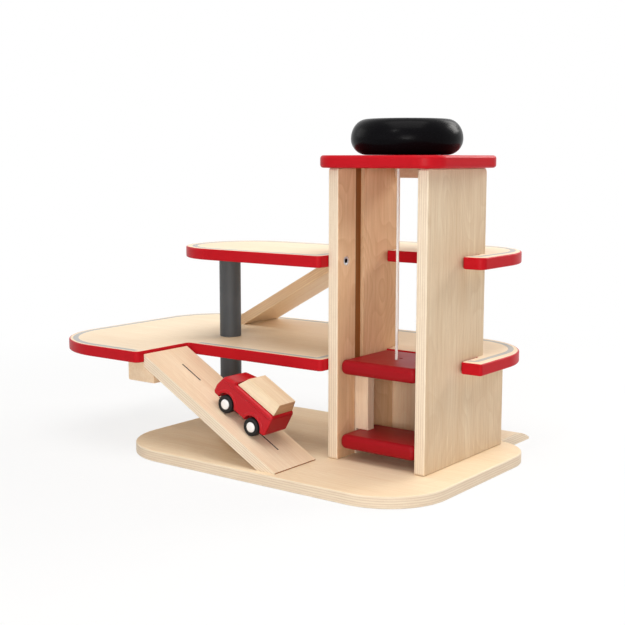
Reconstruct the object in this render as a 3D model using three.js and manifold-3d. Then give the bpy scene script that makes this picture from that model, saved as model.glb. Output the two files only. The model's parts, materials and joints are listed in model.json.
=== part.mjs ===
// A wooden toy parking garage: a lift between two plywood sides, two parking decks,
// two ramps and a small truck. Millimetres, +Z up. X runs along the garage, Y from the
// lift's open front to the back, and z = 0 is the underside of the base board.
import * as THREE from 'three';
import { mergeVertices } from 'three/addons/utils/BufferGeometryUtils.js';
import Module from 'manifold-3d';

const wasm = await Module();
wasm.setup();

// Boards and fits
const PLY = 12;
const PLY_EDGE = 1.5;
const SNUG = 0.15;
const GAP = 0.3;
const OVERRUN = 5;

// Base board
const BASE_LEFT = 289;
const BASE_RIGHT = 94;
const BASE_FRONT = 87;
const BASE_BACK = 174;
const BASE_FRONT_ROUND = 68;
const BASE_BACK_RIGHT_ROUND = 50;
const BASE_BACK_LEFT_ROUND = 70;

// Tower
const SHAFT_WIDTH = 92;
const TOWER_DEPTH = 115;
const SHOULDER_DEPTH = 160;
const LOWER_STOREY = 92;
const UPPER_STOREY = 93.7;
const TOP_STOREY = 87.3;
const SHOULDER_ROUND = 3;
const TOWER_BACK_ROUND = 5;
const PANEL_FRONT_ROUND = 3;
const GROOVE_FRONT = 31;
const GROOVE_WIDTH = 15;
const GROOVE_DEPTH = 4;
const LAP_DEPTH = 15;
const BRACE_HEIGHT = 11;
const CAP_THICKNESS = 12.5;
const CAP_OVERHANG = 13;
const CAP_ROUND = 25;
const CAP_EDGE = 3.2;

// Decks
const SLOT_GAP = 0.5;
const DECK_BACK = 214;
const DECK_RIGHT = 83;
const WING_LENGTH = 35.5;
const LANDING_LENGTH = 11.5;
const LANDING_ROUND = 2;
const MIDDLE_WING_ROUND = 3;
const UPPER_WING_ROUND = 8;
const PANEL_CORNER_ROUND = 5;
const STEP_CORNER_ROUND = 6;
const INNER_CORNER_ROUND = 3;
const DECK_BACK_ROUND = 88;
const MIDDLE_FRONT = 11;
const UPPER_FRONT = 15;
const MIDDLE_LEFT = 403;
const MIDDLE_FRONT_LEFT = 90;
const MIDDLE_STEP = 241.5;
const MIDDLE_FRONT_ROUND = 88;
const UPPER_LEFT = 276.5;
const UPPER_STEP = 124;
const LOBE_BACK = 126;
const LOBE_ROUND = 66;

// Posts under the decks
const POST_RADIUS = 12.2;
const POST_X = -237;
const POST_Y = 55;
const POST_EDGE = 0.8;

// Ramps and the blocks that carry their top ends
const RAMP_WIDTH = 66.5;
const RAMP_DROP = 3.4;
const LOWER_TOE_X = -61.5;
const LOWER_RAMP_BACK = -13.5;
const UPPER_TOE_X = -307;
const UPPER_RAMP_INSET = 16.5;
const RAMP_EDGE = 0.8;
const BLOCK_BEHIND = 23.8;
const BLOCK_AHEAD = 13.9;
const BLOCK_HEIGHT = 21.5;
const BLOCK_EDGE = 1;
const BLOCK_ROUND = 2;

// Ramp behind the base, up which cars drive onto it
const REAR_RAMP_WIDTH = 100;
const REAR_RAMP_LENGTH = 69.5;
const REAR_RAMP_CROWN = 13;
const REAR_RAMP_PROFILE_SHARES = [
  [1, 0.17],
  [0.85, 0.57],
  [0.66, 0.87],
  [0.45, 0.99],
  [0.23, 0.97],
  [0, 0.91],
];

// Lift
const PLATFORM_THICKNESS = 15;
const PLATFORM_SIDE_GAP = 1;
const PLATFORM_FRONT = 1.5;
const LANDING_CLEARANCE = 2.5;
const LOWER_PLATFORM_BACK = 65;
const PLATFORM_ROUND = 7;
const PLATFORM_EDGE = 6;
const LOWER_PLATFORM_LIFT = 12;
const GUIDE_THICKNESS = 12;
const GUIDE_REACH = 15.5;
const GUIDE_EDGE = 1;
const TONGUE_GAP = 0.5;
const SPARE_HOLE_RADIUS = 2.1;
const SPARE_HOLE_BEHIND = 9;

// Cord, drum and knob on top
const CORD_RADIUS = 1.5;
const CORD_HOLE_RADIUS = 2.1;
const KNOT_RADIUS = 3.6;
const KNOT_POCKET_RADIUS = 4.5;
const KNOT_POCKET_DEPTH = 9;
const CORD_BEND_RADIUS = 3;
const WINDING_PITCH = 3.5;
const WINDING_TURNS = 1.5;
const DRUM_RADIUS = 13.3;
const DRUM_HEIGHT = 20;
const DRUM_FLANGE_RADIUS = 24;
const DRUM_FLANGE_THICKNESS = 2.5;
const KNOB_Y = 53.5;
const KNOB_RADIUS = 56;
const KNOB_HEIGHT = 36;
const KNOB_SHOULDER = 16;
const KNOB_WAIST_HEIGHT = 16;
const KNOB_CROWN = 0.6;
const KNOB_HOLLOW_RADIUS = 33;
const SPINDLE_RADIUS = 4;
const SPINDLE_HEAD_RADIUS = 6.5;
const SPINDLE_HEAD_HEIGHT = 3;
const SPINDLE_GRIP = 9;
const WASHER_RADIUS = 9;
const WASHER_THICKNESS = 1.4;
const RECESS_RADIUS = 10;
const BUSH_RADIUS = 6.5;

// Wood screws and dowels
const SCREW_HEAD_RADIUS = 4.6;
const SCREW_HEAD_HEIGHT = 2.8;
const SCREW_RADIUS = 2.1;
const SCREW_LENGTH = 34;
const SCREW_TIP = 5;
const SCREW_SOCKET_RADIUS = 1.7;
const SCREW_SOCKET_DEPTH = 1.8;
const SCREW_SUNK = 0.4;
const BOLT_HEAD_RADIUS = 5.8;
const BOLT_HEAD_HEIGHT = 2.4;
const BOLT_RADIUS = 2.6;
const BOLT_LENGTH = 30;
const BOLT_SOCKET_RADIUS = 2.3;
const BOLT_SOCKET_DEPTH = 1.9;
const BOLT_FRONT_Y = 15.1;
const BACK_BOLT_INSET = 35;
const DOWEL_RADIUS = 3;
const DOWEL_BITE = 8;
const THICK_DOWEL_RADIUS = 5;
const THICK_DOWEL_BITE = 16;
const THICK_DOWEL_SKIN = 4;

// Truck, measured along the ramp from its toe and square to the ramp's top
const TRUCK_Y = -44.6;
const TRUCK_REAR = 41;
const TRUCK_LENGTH = 77.3;
const TRUCK_WIDTH = 37;
const TRUCK_CLEARANCE = 10.6;
const TRUCK_BED_HEIGHT = 35.6;
const TRUCK_NOSE_HEIGHT = 20.5;
const TRUCK_BROW_HEIGHT = 33.8;
const TRUCK_ROOF_HEIGHT = 38.8;
const TRUCK_BROW_BACK = 4.6;
const TRUCK_ROOF_LENGTH = 17.5;
const TRUCK_EDGE = 3;
const TRUCK_CORNER = 4;
const TRUCK_NOSE_ROUND = 6;
const WHEEL_RADIUS = 9.5;
const WHEEL_WIDTH = 8;
const WHEEL_PROUD = 0.6;
const REAR_WHEEL_AHEAD = 18.1;
const WHEELBASE = 39;
const HUB_RADIUS = 4.9;
const HUB_DOME = 0.9;
const TYRE_EDGE = 1.4;
const ARCH_GAP = 2.4;
const ARCH_DEPTH = 8.6;
const AXLE_RADIUS = 1.6;
const AXLE_GRIP = 5;
const KEEL_WIDTH = 17;
const KEEL_CLEARANCE = 6.2;
const KEEL_PAST_AXLE = 8;
const LOAD_LENGTH = 53.3;
const LOAD_HEIGHT = 13;
const LOAD_WIDTH = 31;
const LOAD_LEAN = 2.6;
const LOAD_FRONT_SLANT = 8;
const LOAD_EDGE = 0.7;

// How finely round things are cut
const ROUND_STEPS = 12;
const POST_STEPS = 24;
const KNOB_STEPS = 48;
const KNOB_CORNER_STEPS = 5;
const WHEEL_STEPS = 24;
const SPLINE_STEPS = 2;
const CORD_STEPS = 8;
const EDGE_STEPS = 2;
const TURN_STEPS = 24;
const ARC_STEP_SHARE = 0.09;

// Levels and places that follow from the sizes above
const BASE_TOP = PLY;
const MIDDLE_BOTTOM = BASE_TOP + LOWER_STOREY;
const MIDDLE_TOP = MIDDLE_BOTTOM + PLY;
const UPPER_BOTTOM = MIDDLE_TOP + UPPER_STOREY;
const UPPER_TOP = UPPER_BOTTOM + PLY;
const CAP_BOTTOM = UPPER_TOP + TOP_STOREY;
const CAP_TOP = CAP_BOTTOM + CAP_THICKNESS;
const UPPER_RAMP_BACK = DECK_BACK - UPPER_RAMP_INSET;
const PANEL_INNER = SHAFT_WIDTH / 2;
const PANEL_OUTER = PANEL_INNER + PLY;
const PANEL_MIDDLE = PANEL_INNER + PLY / 2;
const WALL_FRONT = TOWER_DEPTH - PLY;
const LAP_FRONT = TOWER_DEPTH - LAP_DEPTH;
const WING_FRONT = LAP_FRONT - WING_LENGTH;
const LANDING_FRONT = LAP_FRONT - LANDING_LENGTH;
const UPPER_PLATFORM_BACK = LANDING_FRONT - LANDING_CLEARANCE;
const BACK_BOLT_Y = TOWER_DEPTH - BACK_BOLT_INSET;
const GUIDE_FRONT = GROOVE_FRONT + (GROOVE_WIDTH - GUIDE_THICKNESS) / 2;
const GUIDE_MIDDLE = GUIDE_FRONT + GUIDE_THICKNESS / 2;
const CORD_TURN_RADIUS = DRUM_RADIUS + SNUG + CORD_RADIUS;
const CORD_Y = KNOB_Y - CORD_TURN_RADIUS;
const LOWER_PLATFORM_BOTTOM = BASE_TOP + LOWER_PLATFORM_LIFT;
const LOWER_PLATFORM_TOP = LOWER_PLATFORM_BOTTOM + PLATFORM_THICKNESS;
const UPPER_PLATFORM_BOTTOM = MIDDLE_TOP - PLATFORM_THICKNESS;
const KNOB_BOTTOM = CAP_TOP + GAP;
const RECESS_DEPTH = SPINDLE_HEAD_HEIGHT + WASHER_THICKNESS + 2 * GAP;
const BUSH_LENGTH = CAP_THICKNESS - RECESS_DEPTH;
const LOWER_RAMP_RUN = MIDDLE_STEP + LOWER_TOE_X - GAP;
const UPPER_RAMP_RUN = -UPPER_STEP - UPPER_TOE_X - GAP;
const LOWER_SLOPE = Math.atan2(MIDDLE_TOP - BASE_TOP - RAMP_DROP, LOWER_RAMP_RUN);
const UPPER_SLOPE = Math.atan2(UPPER_TOP - MIDDLE_TOP - RAMP_DROP, UPPER_RAMP_RUN);
const REAR_AXLE = TRUCK_REAR + REAR_WHEEL_AHEAD;
const FRONT_AXLE = REAR_AXLE + WHEELBASE;
const WHEEL_CENTRE_HEIGHT = WHEEL_RADIUS + GAP;

// Colours and sheens of the real surfaces
const FINISHES = {
  ply: { color: '#ecd2ad', roughness: 0.6, metalness: 0 },
  deck: { color: '#f0dcc0', roughness: 0.5, metalness: 0 },
  red: { color: '#b5141c', roughness: 0.35, metalness: 0 },
  grey: { color: '#4b4e52', roughness: 0.5, metalness: 0 },
  black: { color: '#101011', roughness: 0.25, metalness: 0 },
  tyre: { color: '#121212', roughness: 0.8, metalness: 0 },
  white: { color: '#f0f0ee', roughness: 0.4, metalness: 0 },
  cord: { color: '#f3ede2', roughness: 0.9, metalness: 0 },
  steel: { color: '#c8c9cc', roughness: 0.25, metalness: 1 },
  brass: { color: '#b89a55', roughness: 0.4, metalness: 1 },
};

// Turns a closed geometry into a solid that can be cut and joined.
function solidOf(geometry) {
  const bare = geometry.clone();
  bare.deleteAttribute('normal');
  bare.deleteAttribute('uv');
  const merged = mergeVertices(bare);
  const vertProperties = new Float32Array(merged.attributes.position.array);
  const triVerts = new Uint32Array(merged.index.array);
  return new wasm.Manifold(new wasm.Mesh({ numProp: 3, vertProperties, triVerts }));
}

function geometryOf(solid) {
  const mesh = solid.getMesh();
  const geometry = new THREE.BufferGeometry();
  const positions = new Float32Array(mesh.vertProperties);
  geometry.setAttribute('position', new THREE.BufferAttribute(positions, 3));
  geometry.setIndex(new THREE.BufferAttribute(new Uint32Array(mesh.triVerts), 1));
  geometry.computeVertexNormals();
  return geometry;
}

function cut(geometry, cutters) {
  let solid = solidOf(geometry);
  for (const cutter of cutters) {
    solid = solid.subtract(solidOf(cutter));
  }
  return geometryOf(solid);
}

function join(geometries) {
  let solid = solidOf(geometries[0]);
  for (const geometry of geometries.slice(1)) {
    solid = solid.add(solidOf(geometry));
  }
  return geometryOf(solid);
}

function mesh(name, geometry, finish, parent) {
  const material = new THREE.MeshStandardMaterial(FINISHES[finish]);
  const node = new THREE.Mesh(geometry, material);
  node.name = name;
  parent.add(node);
  return node;
}

// An outline from corners [x, y, radius], each rounded by an arc of its radius.
function outline(corners) {
  const points = [];
  corners.forEach(([x, y, radius], index) => {
    const before = corners[(index + corners.length - 1) % corners.length];
    const after = corners[(index + 1) % corners.length];
    const corner = new THREE.Vector2(x, y);
    if (!radius) {
      points.push(corner);
      return;
    }
    const back = new THREE.Vector2(before[0], before[1]).sub(corner).normalize();
    const ahead = new THREE.Vector2(after[0], after[1]).sub(corner).normalize();
    const half = Math.acos(THREE.MathUtils.clamp(back.dot(ahead), -1, 1)) / 2;
    const toCentre = back.clone().add(ahead).normalize().multiplyScalar(radius / Math.sin(half));
    const centre = corner.clone().add(toCentre);
    const tangent = radius / Math.tan(half);
    const start = corner.clone().addScaledVector(back, tangent).sub(centre);
    const end = corner.clone().addScaledVector(ahead, tangent).sub(centre);
    const sweep = Math.atan2(start.cross(end), start.dot(end));
    const finest = ARC_STEP_SHARE * Math.sqrt(PLY / radius + ARC_STEP_SHARE);
    const steps = Math.max(3, Math.ceil(Math.abs(sweep) / (finest * Math.PI)));
    for (let step = 0; step <= steps; step += 1) {
      points.push(start.clone().rotateAround(new THREE.Vector2(), (sweep * step) / steps).add(centre));
    }
  });
  return new THREE.Shape(points);
}

// A board of the outline, lying on z = 0, with its edges rounded.
function board(shape, thickness, edge) {
  return new THREE.ExtrudeGeometry(shape, {
    depth: thickness - 2 * edge,
    bevelEnabled: edge > 0,
    bevelThickness: edge,
    bevelSize: edge,
    bevelOffset: -edge,
    bevelSegments: EDGE_STEPS,
    curveSegments: SPLINE_STEPS,
  }).translate(0, 0, edge);
}

// The same for an outline drawn in Y and Z, starting at x = 0.
function boardAlongX(shape, thickness, edge) {
  const turn = new THREE.Matrix4().makeBasis(
    new THREE.Vector3(0, 1, 0),
    new THREE.Vector3(0, 0, 1),
    new THREE.Vector3(1, 0, 0),
  );
  return board(shape, thickness, edge).applyMatrix4(turn);
}

// The same for an outline drawn in X and Z, running back to y = 0 from the front.
function boardAlongY(shape, thickness, edge) {
  const turn = new THREE.Matrix4().makeBasis(
    new THREE.Vector3(1, 0, 0),
    new THREE.Vector3(0, 0, 1),
    new THREE.Vector3(0, -1, 0),
  );
  return board(shape, thickness, edge).applyMatrix4(turn);
}

function box(low, high) {
  const size = new THREE.Vector3().subVectors(high, low);
  const middle = new THREE.Vector3().addVectors(low, high).multiplyScalar(0.5);
  return new THREE.BoxGeometry(size.x, size.y, size.z).translate(middle.x, middle.y, middle.z);
}

// A profile of [radius, height] turned about the Z axis, from its foot to its top.
function turned(profile, steps) {
  const points = profile.map(([radius, height]) => new THREE.Vector2(radius, height));
  return new THREE.LatheGeometry(points, steps).rotateX(Math.PI / 2);
}

// A round rod standing on z = 0.
function rod(radius, length, steps = ROUND_STEPS) {
  return turned([[0, 0], [radius, 0], [radius, length], [0, length]], steps);
}

// Points a piece that stands along Z the way that is asked, and moves its foot.
function pointed(geometry, direction, foot) {
  const turn = new THREE.Quaternion().setFromUnitVectors(new THREE.Vector3(0, 0, 1), direction);
  return geometry.applyQuaternion(turn).translate(foot.x, foot.y, foot.z);
}

const UP = new THREE.Vector3(0, 0, 1);
const RIGHT = new THREE.Vector3(1, 0, 0);
const LEFT = new THREE.Vector3(-1, 0, 0);
const BACK = new THREE.Vector3(0, 1, 0);
const at = (x, y, z) => new THREE.Vector3(x, y, z);

// A dowel with its middle at the place given, and the hole for it.
function dowel(radius, bite, direction, middle) {
  const foot = middle.clone().addScaledVector(direction, -bite);
  return pointed(rod(radius, 2 * bite), direction, foot);
}

function dowelHole(radius, bite, direction, middle) {
  const deep = bite + SNUG;
  const foot = middle.clone().addScaledVector(direction, -deep);
  return pointed(rod(radius + SNUG, 2 * deep), direction, foot);
}

// A countersunk fastener: its head's face is at the foot, and it runs the way it points.
function fastener(size, direction, foot) {
  const profile = [
    [0, size.socketDepth],
    [size.socket, size.socketDepth],
    [size.socket, 0],
    [size.head, 0],
    [size.shank, size.headHeight],
    [size.shank, size.length - size.tip],
    [0, size.length],
  ];
  return pointed(turned(profile, ROUND_STEPS), direction, foot);
}

function fastenerHole(size, direction, foot) {
  const profile = [
    [0, -OVERRUN],
    [size.head + SNUG, -OVERRUN],
    [size.head + SNUG, SNUG],
    [size.shank + SNUG, size.headHeight + SNUG],
    [size.shank + SNUG, size.length + SNUG],
    [0, size.length + SNUG],
  ];
  return pointed(turned(profile, ROUND_STEPS), direction, foot);
}

const SCREW = {
  head: SCREW_HEAD_RADIUS,
  headHeight: SCREW_HEAD_HEIGHT,
  shank: SCREW_RADIUS,
  length: SCREW_LENGTH,
  tip: SCREW_TIP,
  socket: SCREW_SOCKET_RADIUS,
  socketDepth: SCREW_SOCKET_DEPTH,
};
const BOLT = {
  head: BOLT_HEAD_RADIUS,
  headHeight: BOLT_HEAD_HEIGHT,
  shank: BOLT_RADIUS,
  length: BOLT_LENGTH,
  tip: SCREW_TIP,
  socket: BOLT_SOCKET_RADIUS,
  socketDepth: BOLT_SOCKET_DEPTH,
};

// Where the fasteners are, in the garage's frame. Every piece that one passes through
// is cut by the same hole. Everything else is glued, edge to face.
const SIDES = [['left', -1], ['right', 1]];
const screws = SIDES.flatMap(([hand, side]) => [
  { name: `${hand}_front_base_screw`, foot: at(side * PANEL_MIDDLE, BOLT_FRONT_Y, SCREW_SUNK) },
  { name: `${hand}_back_base_screw`, foot: at(side * PANEL_MIDDLE, TOWER_DEPTH, SCREW_SUNK) },
]);
screws.push({ name: 'post_base_screw', foot: at(POST_X, POST_Y, SCREW_SUNK) });

const BOLT_SEAT = PANEL_INNER + SCREW_SUNK;
const bolts = [
  ['middle_deck', MIDDLE_BOTTOM + PLY / 2],
  ['upper_deck', UPPER_BOTTOM + PLY / 2],
].flatMap(([deck, level]) => [
  { name: `${deck}_left_bolt`, direction: LEFT, foot: at(-BOLT_SEAT, BOLT_FRONT_Y, level) },
  { name: `${deck}_right_bolt`, direction: RIGHT, foot: at(BOLT_SEAT, BACK_BOLT_Y, level) },
]);

const capDowels = SIDES.flatMap(([hand, side]) => [
  { name: `${hand}_front_cap_dowel`, middle: at(side * PANEL_MIDDLE, BOLT_FRONT_Y, CAP_BOTTOM) },
  { name: `${hand}_back_cap_dowel`, middle: at(side * PANEL_MIDDLE, BACK_BOLT_Y, CAP_BOTTOM) },
]);

const UPPER_DOWEL_MIDDLE = UPPER_TOP - THICK_DOWEL_SKIN - THICK_DOWEL_BITE;
const postDowels = [
  { name: 'middle_post_dowel', middle: at(POST_X, POST_Y, MIDDLE_BOTTOM + PLY / 2) },
  { name: 'upper_post_dowel', middle: at(POST_X, POST_Y, UPPER_DOWEL_MIDDLE) },
];

const GUIDE_DOWEL_X = PANEL_INNER - GUIDE_REACH + GUIDE_THICKNESS / 2;
const platformDowels = SIDES.flatMap(([hand, side]) => [
  ['lower', LOWER_PLATFORM_TOP],
  ['upper', UPPER_PLATFORM_BOTTOM],
].map(([storey, level]) => ({
  name: `${hand}_${storey}_guide_dowel`,
  middle: at(side * GUIDE_DOWEL_X, GUIDE_MIDDLE, level),
})));

const screwHoles = () => screws.map((one) => fastenerHole(SCREW, UP, one.foot));
const boltHoles = () => bolts.map((one) => fastenerHole(BOLT, one.direction, one.foot));
const dowelHoles = (list) => list.map((one) => dowelHole(DOWEL_RADIUS, DOWEL_BITE, UP, one.middle));
const postDowelHoles = () =>
  postDowels.map((one) => dowelHole(THICK_DOWEL_RADIUS, THICK_DOWEL_BITE, UP, one.middle));

// Moves cutters from the garage's frame to a piece's own, whose origin is at the place.
function lowered(cutters, height) {
  return cutters.map((cutter) => cutter.translate(0, 0, -height));
}

function baseBoard() {
  const shape = outline([
    [-BASE_LEFT, -BASE_FRONT, BASE_FRONT_ROUND],
    [BASE_RIGHT, -BASE_FRONT, BASE_FRONT_ROUND],
    [BASE_RIGHT, BASE_BACK, BASE_BACK_RIGHT_ROUND],
    [-BASE_LEFT, BASE_BACK, BASE_BACK_LEFT_ROUND],
  ]);
  return cut(board(shape, PLY, PLY_EDGE), screwHoles());
}

// A tower side stands on the base. Its back steps forward above the shoulder that
// carries the middle deck, and two laps let the decks through.
function sidePanel(side) {
  const height = CAP_BOTTOM - BASE_TOP;
  const shape = outline([
    [0, 0, PANEL_FRONT_ROUND],
    [SHOULDER_DEPTH, 0, 0],
    [SHOULDER_DEPTH, LOWER_STOREY, SHOULDER_ROUND],
    [TOWER_DEPTH, LOWER_STOREY, 0],
    [TOWER_DEPTH, height, TOWER_BACK_ROUND],
    [0, height, PANEL_FRONT_ROUND],
  ]);
  const low = side < 0 ? -PANEL_OUTER : PANEL_INNER;
  const plate = boardAlongX(shape, PLY, PLY_EDGE).translate(low, 0, 0);
  const grooveBottom = side * (PANEL_INNER + GROOVE_DEPTH);
  const grooveMouth = side * (PANEL_INNER - OVERRUN);
  const groove = box(
    at(Math.min(grooveBottom, grooveMouth), GROOVE_FRONT, -OVERRUN),
    at(Math.max(grooveBottom, grooveMouth), GROOVE_FRONT + GROOVE_WIDTH, height + OVERRUN),
  );
  const laps = [MIDDLE_BOTTOM, UPPER_BOTTOM].map((level) => box(
    at(low - OVERRUN, LAP_FRONT, level - BASE_TOP),
    at(low + PLY + OVERRUN, TOWER_DEPTH + OVERRUN, level - BASE_TOP + PLY + SNUG),
  ));
  const holes = [...screwHoles(), ...boltHoles(), ...dowelHoles(capDowels)];
  return cut(plate, [groove, ...laps, ...lowered(holes, BASE_TOP)]);
}

function rearWall() {
  return box(at(-PANEL_INNER, WALL_FRONT, 0), at(PANEL_INNER, TOWER_DEPTH, LOWER_STOREY));
}

function topBrace() {
  return box(at(-PANEL_INNER, WALL_FRONT, 0), at(PANEL_INNER, TOWER_DEPTH, BRACE_HEIGHT));
}

function capBoard() {
  const side = PANEL_OUTER + CAP_OVERHANG;
  const shape = outline([
    [-side, -CAP_OVERHANG, CAP_ROUND],
    [side, -CAP_OVERHANG, CAP_ROUND],
    [side, TOWER_DEPTH + CAP_OVERHANG, CAP_ROUND],
    [-side, TOWER_DEPTH + CAP_OVERHANG, CAP_ROUND],
  ]);
  const through = CAP_THICKNESS + 2 * OVERRUN;
  const cutters = [
    rod(BUSH_RADIUS + SNUG, through).translate(0, KNOB_Y, -OVERRUN),
    rod(RECESS_RADIUS, RECESS_DEPTH + OVERRUN).translate(0, KNOB_Y, -OVERRUN),
    rod(CORD_HOLE_RADIUS, through).translate(0, CORD_Y, -OVERRUN),
    ...lowered(dowelHoles(capDowels), CAP_BOTTOM),
  ];
  return cut(board(shape, CAP_THICKNESS, CAP_EDGE), cutters);
}

// The part of a deck's outline that goes round the tower: a slot for each side, open
// to the front, and between them the landing that cars leave the lift on.
function towerEdge(front, wingRound) {
  const outer = PANEL_OUTER + SLOT_GAP;
  const inner = PANEL_INNER - SLOT_GAP;
  return [
    [-outer, -front, PANEL_CORNER_ROUND],
    [-outer, LAP_FRONT, 0],
    [-inner, LAP_FRONT, 0],
    [-inner, LANDING_FRONT, LANDING_ROUND],
    [inner, LANDING_FRONT, LANDING_ROUND],
    [inner, LAP_FRONT, 0],
    [outer, LAP_FRONT, 0],
    [outer, WING_FRONT, PANEL_CORNER_ROUND],
    [DECK_RIGHT, WING_FRONT, wingRound],
    [DECK_RIGHT, DECK_BACK, DECK_BACK_ROUND],
  ];
}

function deckHoles(level) {
  return lowered([...boltHoles(), ...postDowelHoles()], level);
}

function middleDeck() {
  const shape = outline([
    [-MIDDLE_LEFT, -MIDDLE_FRONT_LEFT, MIDDLE_FRONT_ROUND],
    [-MIDDLE_STEP, -MIDDLE_FRONT_LEFT, STEP_CORNER_ROUND],
    [-MIDDLE_STEP, -MIDDLE_FRONT, INNER_CORNER_ROUND],
    ...towerEdge(MIDDLE_FRONT, MIDDLE_WING_ROUND),
    [-MIDDLE_LEFT, DECK_BACK, DECK_BACK_ROUND],
  ]);
  return cut(board(shape, PLY, PLY_EDGE), deckHoles(MIDDLE_BOTTOM));
}

function upperDeck() {
  const shape = outline([
    [-UPPER_LEFT, -UPPER_FRONT, LOBE_ROUND],
    ...towerEdge(UPPER_FRONT, UPPER_WING_ROUND),
    [-UPPER_STEP, DECK_BACK, STEP_CORNER_ROUND],
    [-UPPER_STEP, LOBE_BACK, INNER_CORNER_ROUND],
    [-UPPER_LEFT, LOBE_BACK, LOBE_ROUND],
  ]);
  return cut(board(shape, PLY, PLY_EDGE), deckHoles(UPPER_BOTTOM));
}

function post(bottom, top) {
  const height = top - bottom;
  const stick = turned([
    [0, 0],
    [POST_RADIUS - POST_EDGE, 0],
    [POST_RADIUS, POST_EDGE],
    [POST_RADIUS, height - POST_EDGE],
    [POST_RADIUS - POST_EDGE, height],
    [0, height],
  ], POST_STEPS).translate(POST_X, POST_Y, 0);
  return cut(stick, lowered([...screwHoles(), ...postDowelHoles()], bottom));
}

// A ramp's side view, from its toe at [0, 0] to the end that butts against a deck. The
// run is negative where the ramp climbs to the left.
function rampShape(run, rise) {
  const slope = Math.atan2(rise, Math.abs(run));
  const foot = Math.sign(run) * PLY / Math.sin(slope);
  return outline([
    [0, 0, 0],
    [foot, 0, 0],
    [run, rise - PLY / Math.cos(slope), 0],
    [run, rise, 0],
  ]);
}

function ramp(run, rise) {
  return boardAlongY(rampShape(run, rise), RAMP_WIDTH, RAMP_EDGE);
}

// The block under a deck's edge, cut to the ramp's underside where the ramp lies on it.
// Its own origin is under the deck's edge, and the ramp's toe is on the side given.
function rampBlock(side, slope) {
  const underRamp = PLY - RAMP_DROP - PLY / Math.cos(slope) - GAP;
  const shape = outline([
    [-side * BLOCK_BEHIND, 0, 0],
    [-side * BLOCK_BEHIND, -BLOCK_HEIGHT, BLOCK_ROUND],
    [side * BLOCK_AHEAD, -BLOCK_HEIGHT, 0],
    [side * BLOCK_AHEAD, underRamp - BLOCK_AHEAD * Math.tan(slope), 0],
    [0, underRamp, 0],
    [0, 0, 0],
  ]);
  return boardAlongY(shape, RAMP_WIDTH, BLOCK_EDGE);
}

function rearRamp() {
  const shape = new THREE.Shape();
  const top = REAR_RAMP_PROFILE_SHARES.map(([length, crown]) =>
    new THREE.Vector2(GAP + REAR_RAMP_LENGTH * length, REAR_RAMP_CROWN * crown));
  shape.moveTo(GAP, 0);
  shape.lineTo(GAP + REAR_RAMP_LENGTH, 0);
  shape.lineTo(top[0].x, top[0].y);
  shape.splineThru(top.slice(1));
  return boardAlongX(shape, REAR_RAMP_WIDTH, RAMP_EDGE);
}

function platform(back, cutters) {
  const side = PANEL_INNER - PLATFORM_SIDE_GAP;
  const shape = outline([
    [-side, PLATFORM_FRONT, PLATFORM_ROUND],
    [side, PLATFORM_FRONT, PLATFORM_ROUND],
    [side, back, PLATFORM_ROUND],
    [-side, back, PLATFORM_ROUND],
  ]);
  return cut(board(shape, PLATFORM_THICKNESS, PLATFORM_EDGE), cutters);
}

function upperPlatform() {
  const through = PLATFORM_THICKNESS + 2 * OVERRUN;
  const pocket = rod(KNOT_POCKET_RADIUS, KNOT_POCKET_DEPTH + OVERRUN);
  const cutters = [
    rod(CORD_HOLE_RADIUS, through).translate(0, CORD_Y, -OVERRUN),
    rod(SPARE_HOLE_RADIUS, through).translate(0, CORD_Y + SPARE_HOLE_BEHIND, -OVERRUN),
    pocket.translate(0, CORD_Y, -OVERRUN),
    ...lowered(dowelHoles(platformDowels), UPPER_PLATFORM_BOTTOM),
  ];
  return platform(UPPER_PLATFORM_BACK, cutters);
}

function lowerPlatform() {
  const holes = lowered(dowelHoles(platformDowels), LOWER_PLATFORM_BOTTOM);
  return platform(LOWER_PLATFORM_BACK, holes);
}

// A post between the platforms. Its tongue runs in the groove of the tower's side, and
// goes on down past the lower platform to the base, which is the lift's lower stop.
function guidePost(side) {
  const inner = side * (PANEL_INNER - GUIDE_REACH);
  const tongue = side * (PANEL_INNER - PLATFORM_SIDE_GAP + GAP);
  const outer = side * (PANEL_INNER + GROOVE_DEPTH - TONGUE_GAP);
  const shape = outline([
    [inner, LOWER_PLATFORM_TOP, 0],
    [tongue, LOWER_PLATFORM_TOP, 0],
    [tongue, BASE_TOP + GAP, 0],
    [outer, BASE_TOP + GAP, 0],
    [outer, MIDDLE_TOP - PLATFORM_EDGE, 0],
    [tongue, MIDDLE_TOP - PLATFORM_EDGE, 0],
    [tongue, UPPER_PLATFORM_BOTTOM, 0],
    [inner, UPPER_PLATFORM_BOTTOM, 0],
  ]);
  const plate = boardAlongY(shape, GUIDE_THICKNESS, GUIDE_EDGE);
  const holes = dowelHoles(platformDowels);
  const backFace = GUIDE_FRONT + GUIDE_THICKNESS;
  return cut(plate, holes.map((hole) => hole.translate(0, -backFace, 0)));
}

function cordKnot() {
  const knotHeight = UPPER_PLATFORM_BOTTOM + KNOT_POCKET_DEPTH - SNUG - KNOT_RADIUS;
  const knot = new THREE.SphereGeometry(KNOT_RADIUS, ROUND_STEPS, ROUND_STEPS / 2);
  const tail = rod(CORD_RADIUS, MIDDLE_TOP - knotHeight, CORD_STEPS);
  return join([knot.rotateX(Math.PI / 2), tail]).translate(0, 0, knotHeight);
}

function cordAlong(path, steps) {
  const section = new THREE.Shape();
  section.absarc(0, 0, CORD_RADIUS, 0, 2 * Math.PI);
  const settings = { steps, bevelEnabled: false, extrudePath: path, curveSegments: CORD_STEPS / 2 };
  return new THREE.ExtrudeGeometry(section, settings);
}

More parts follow.
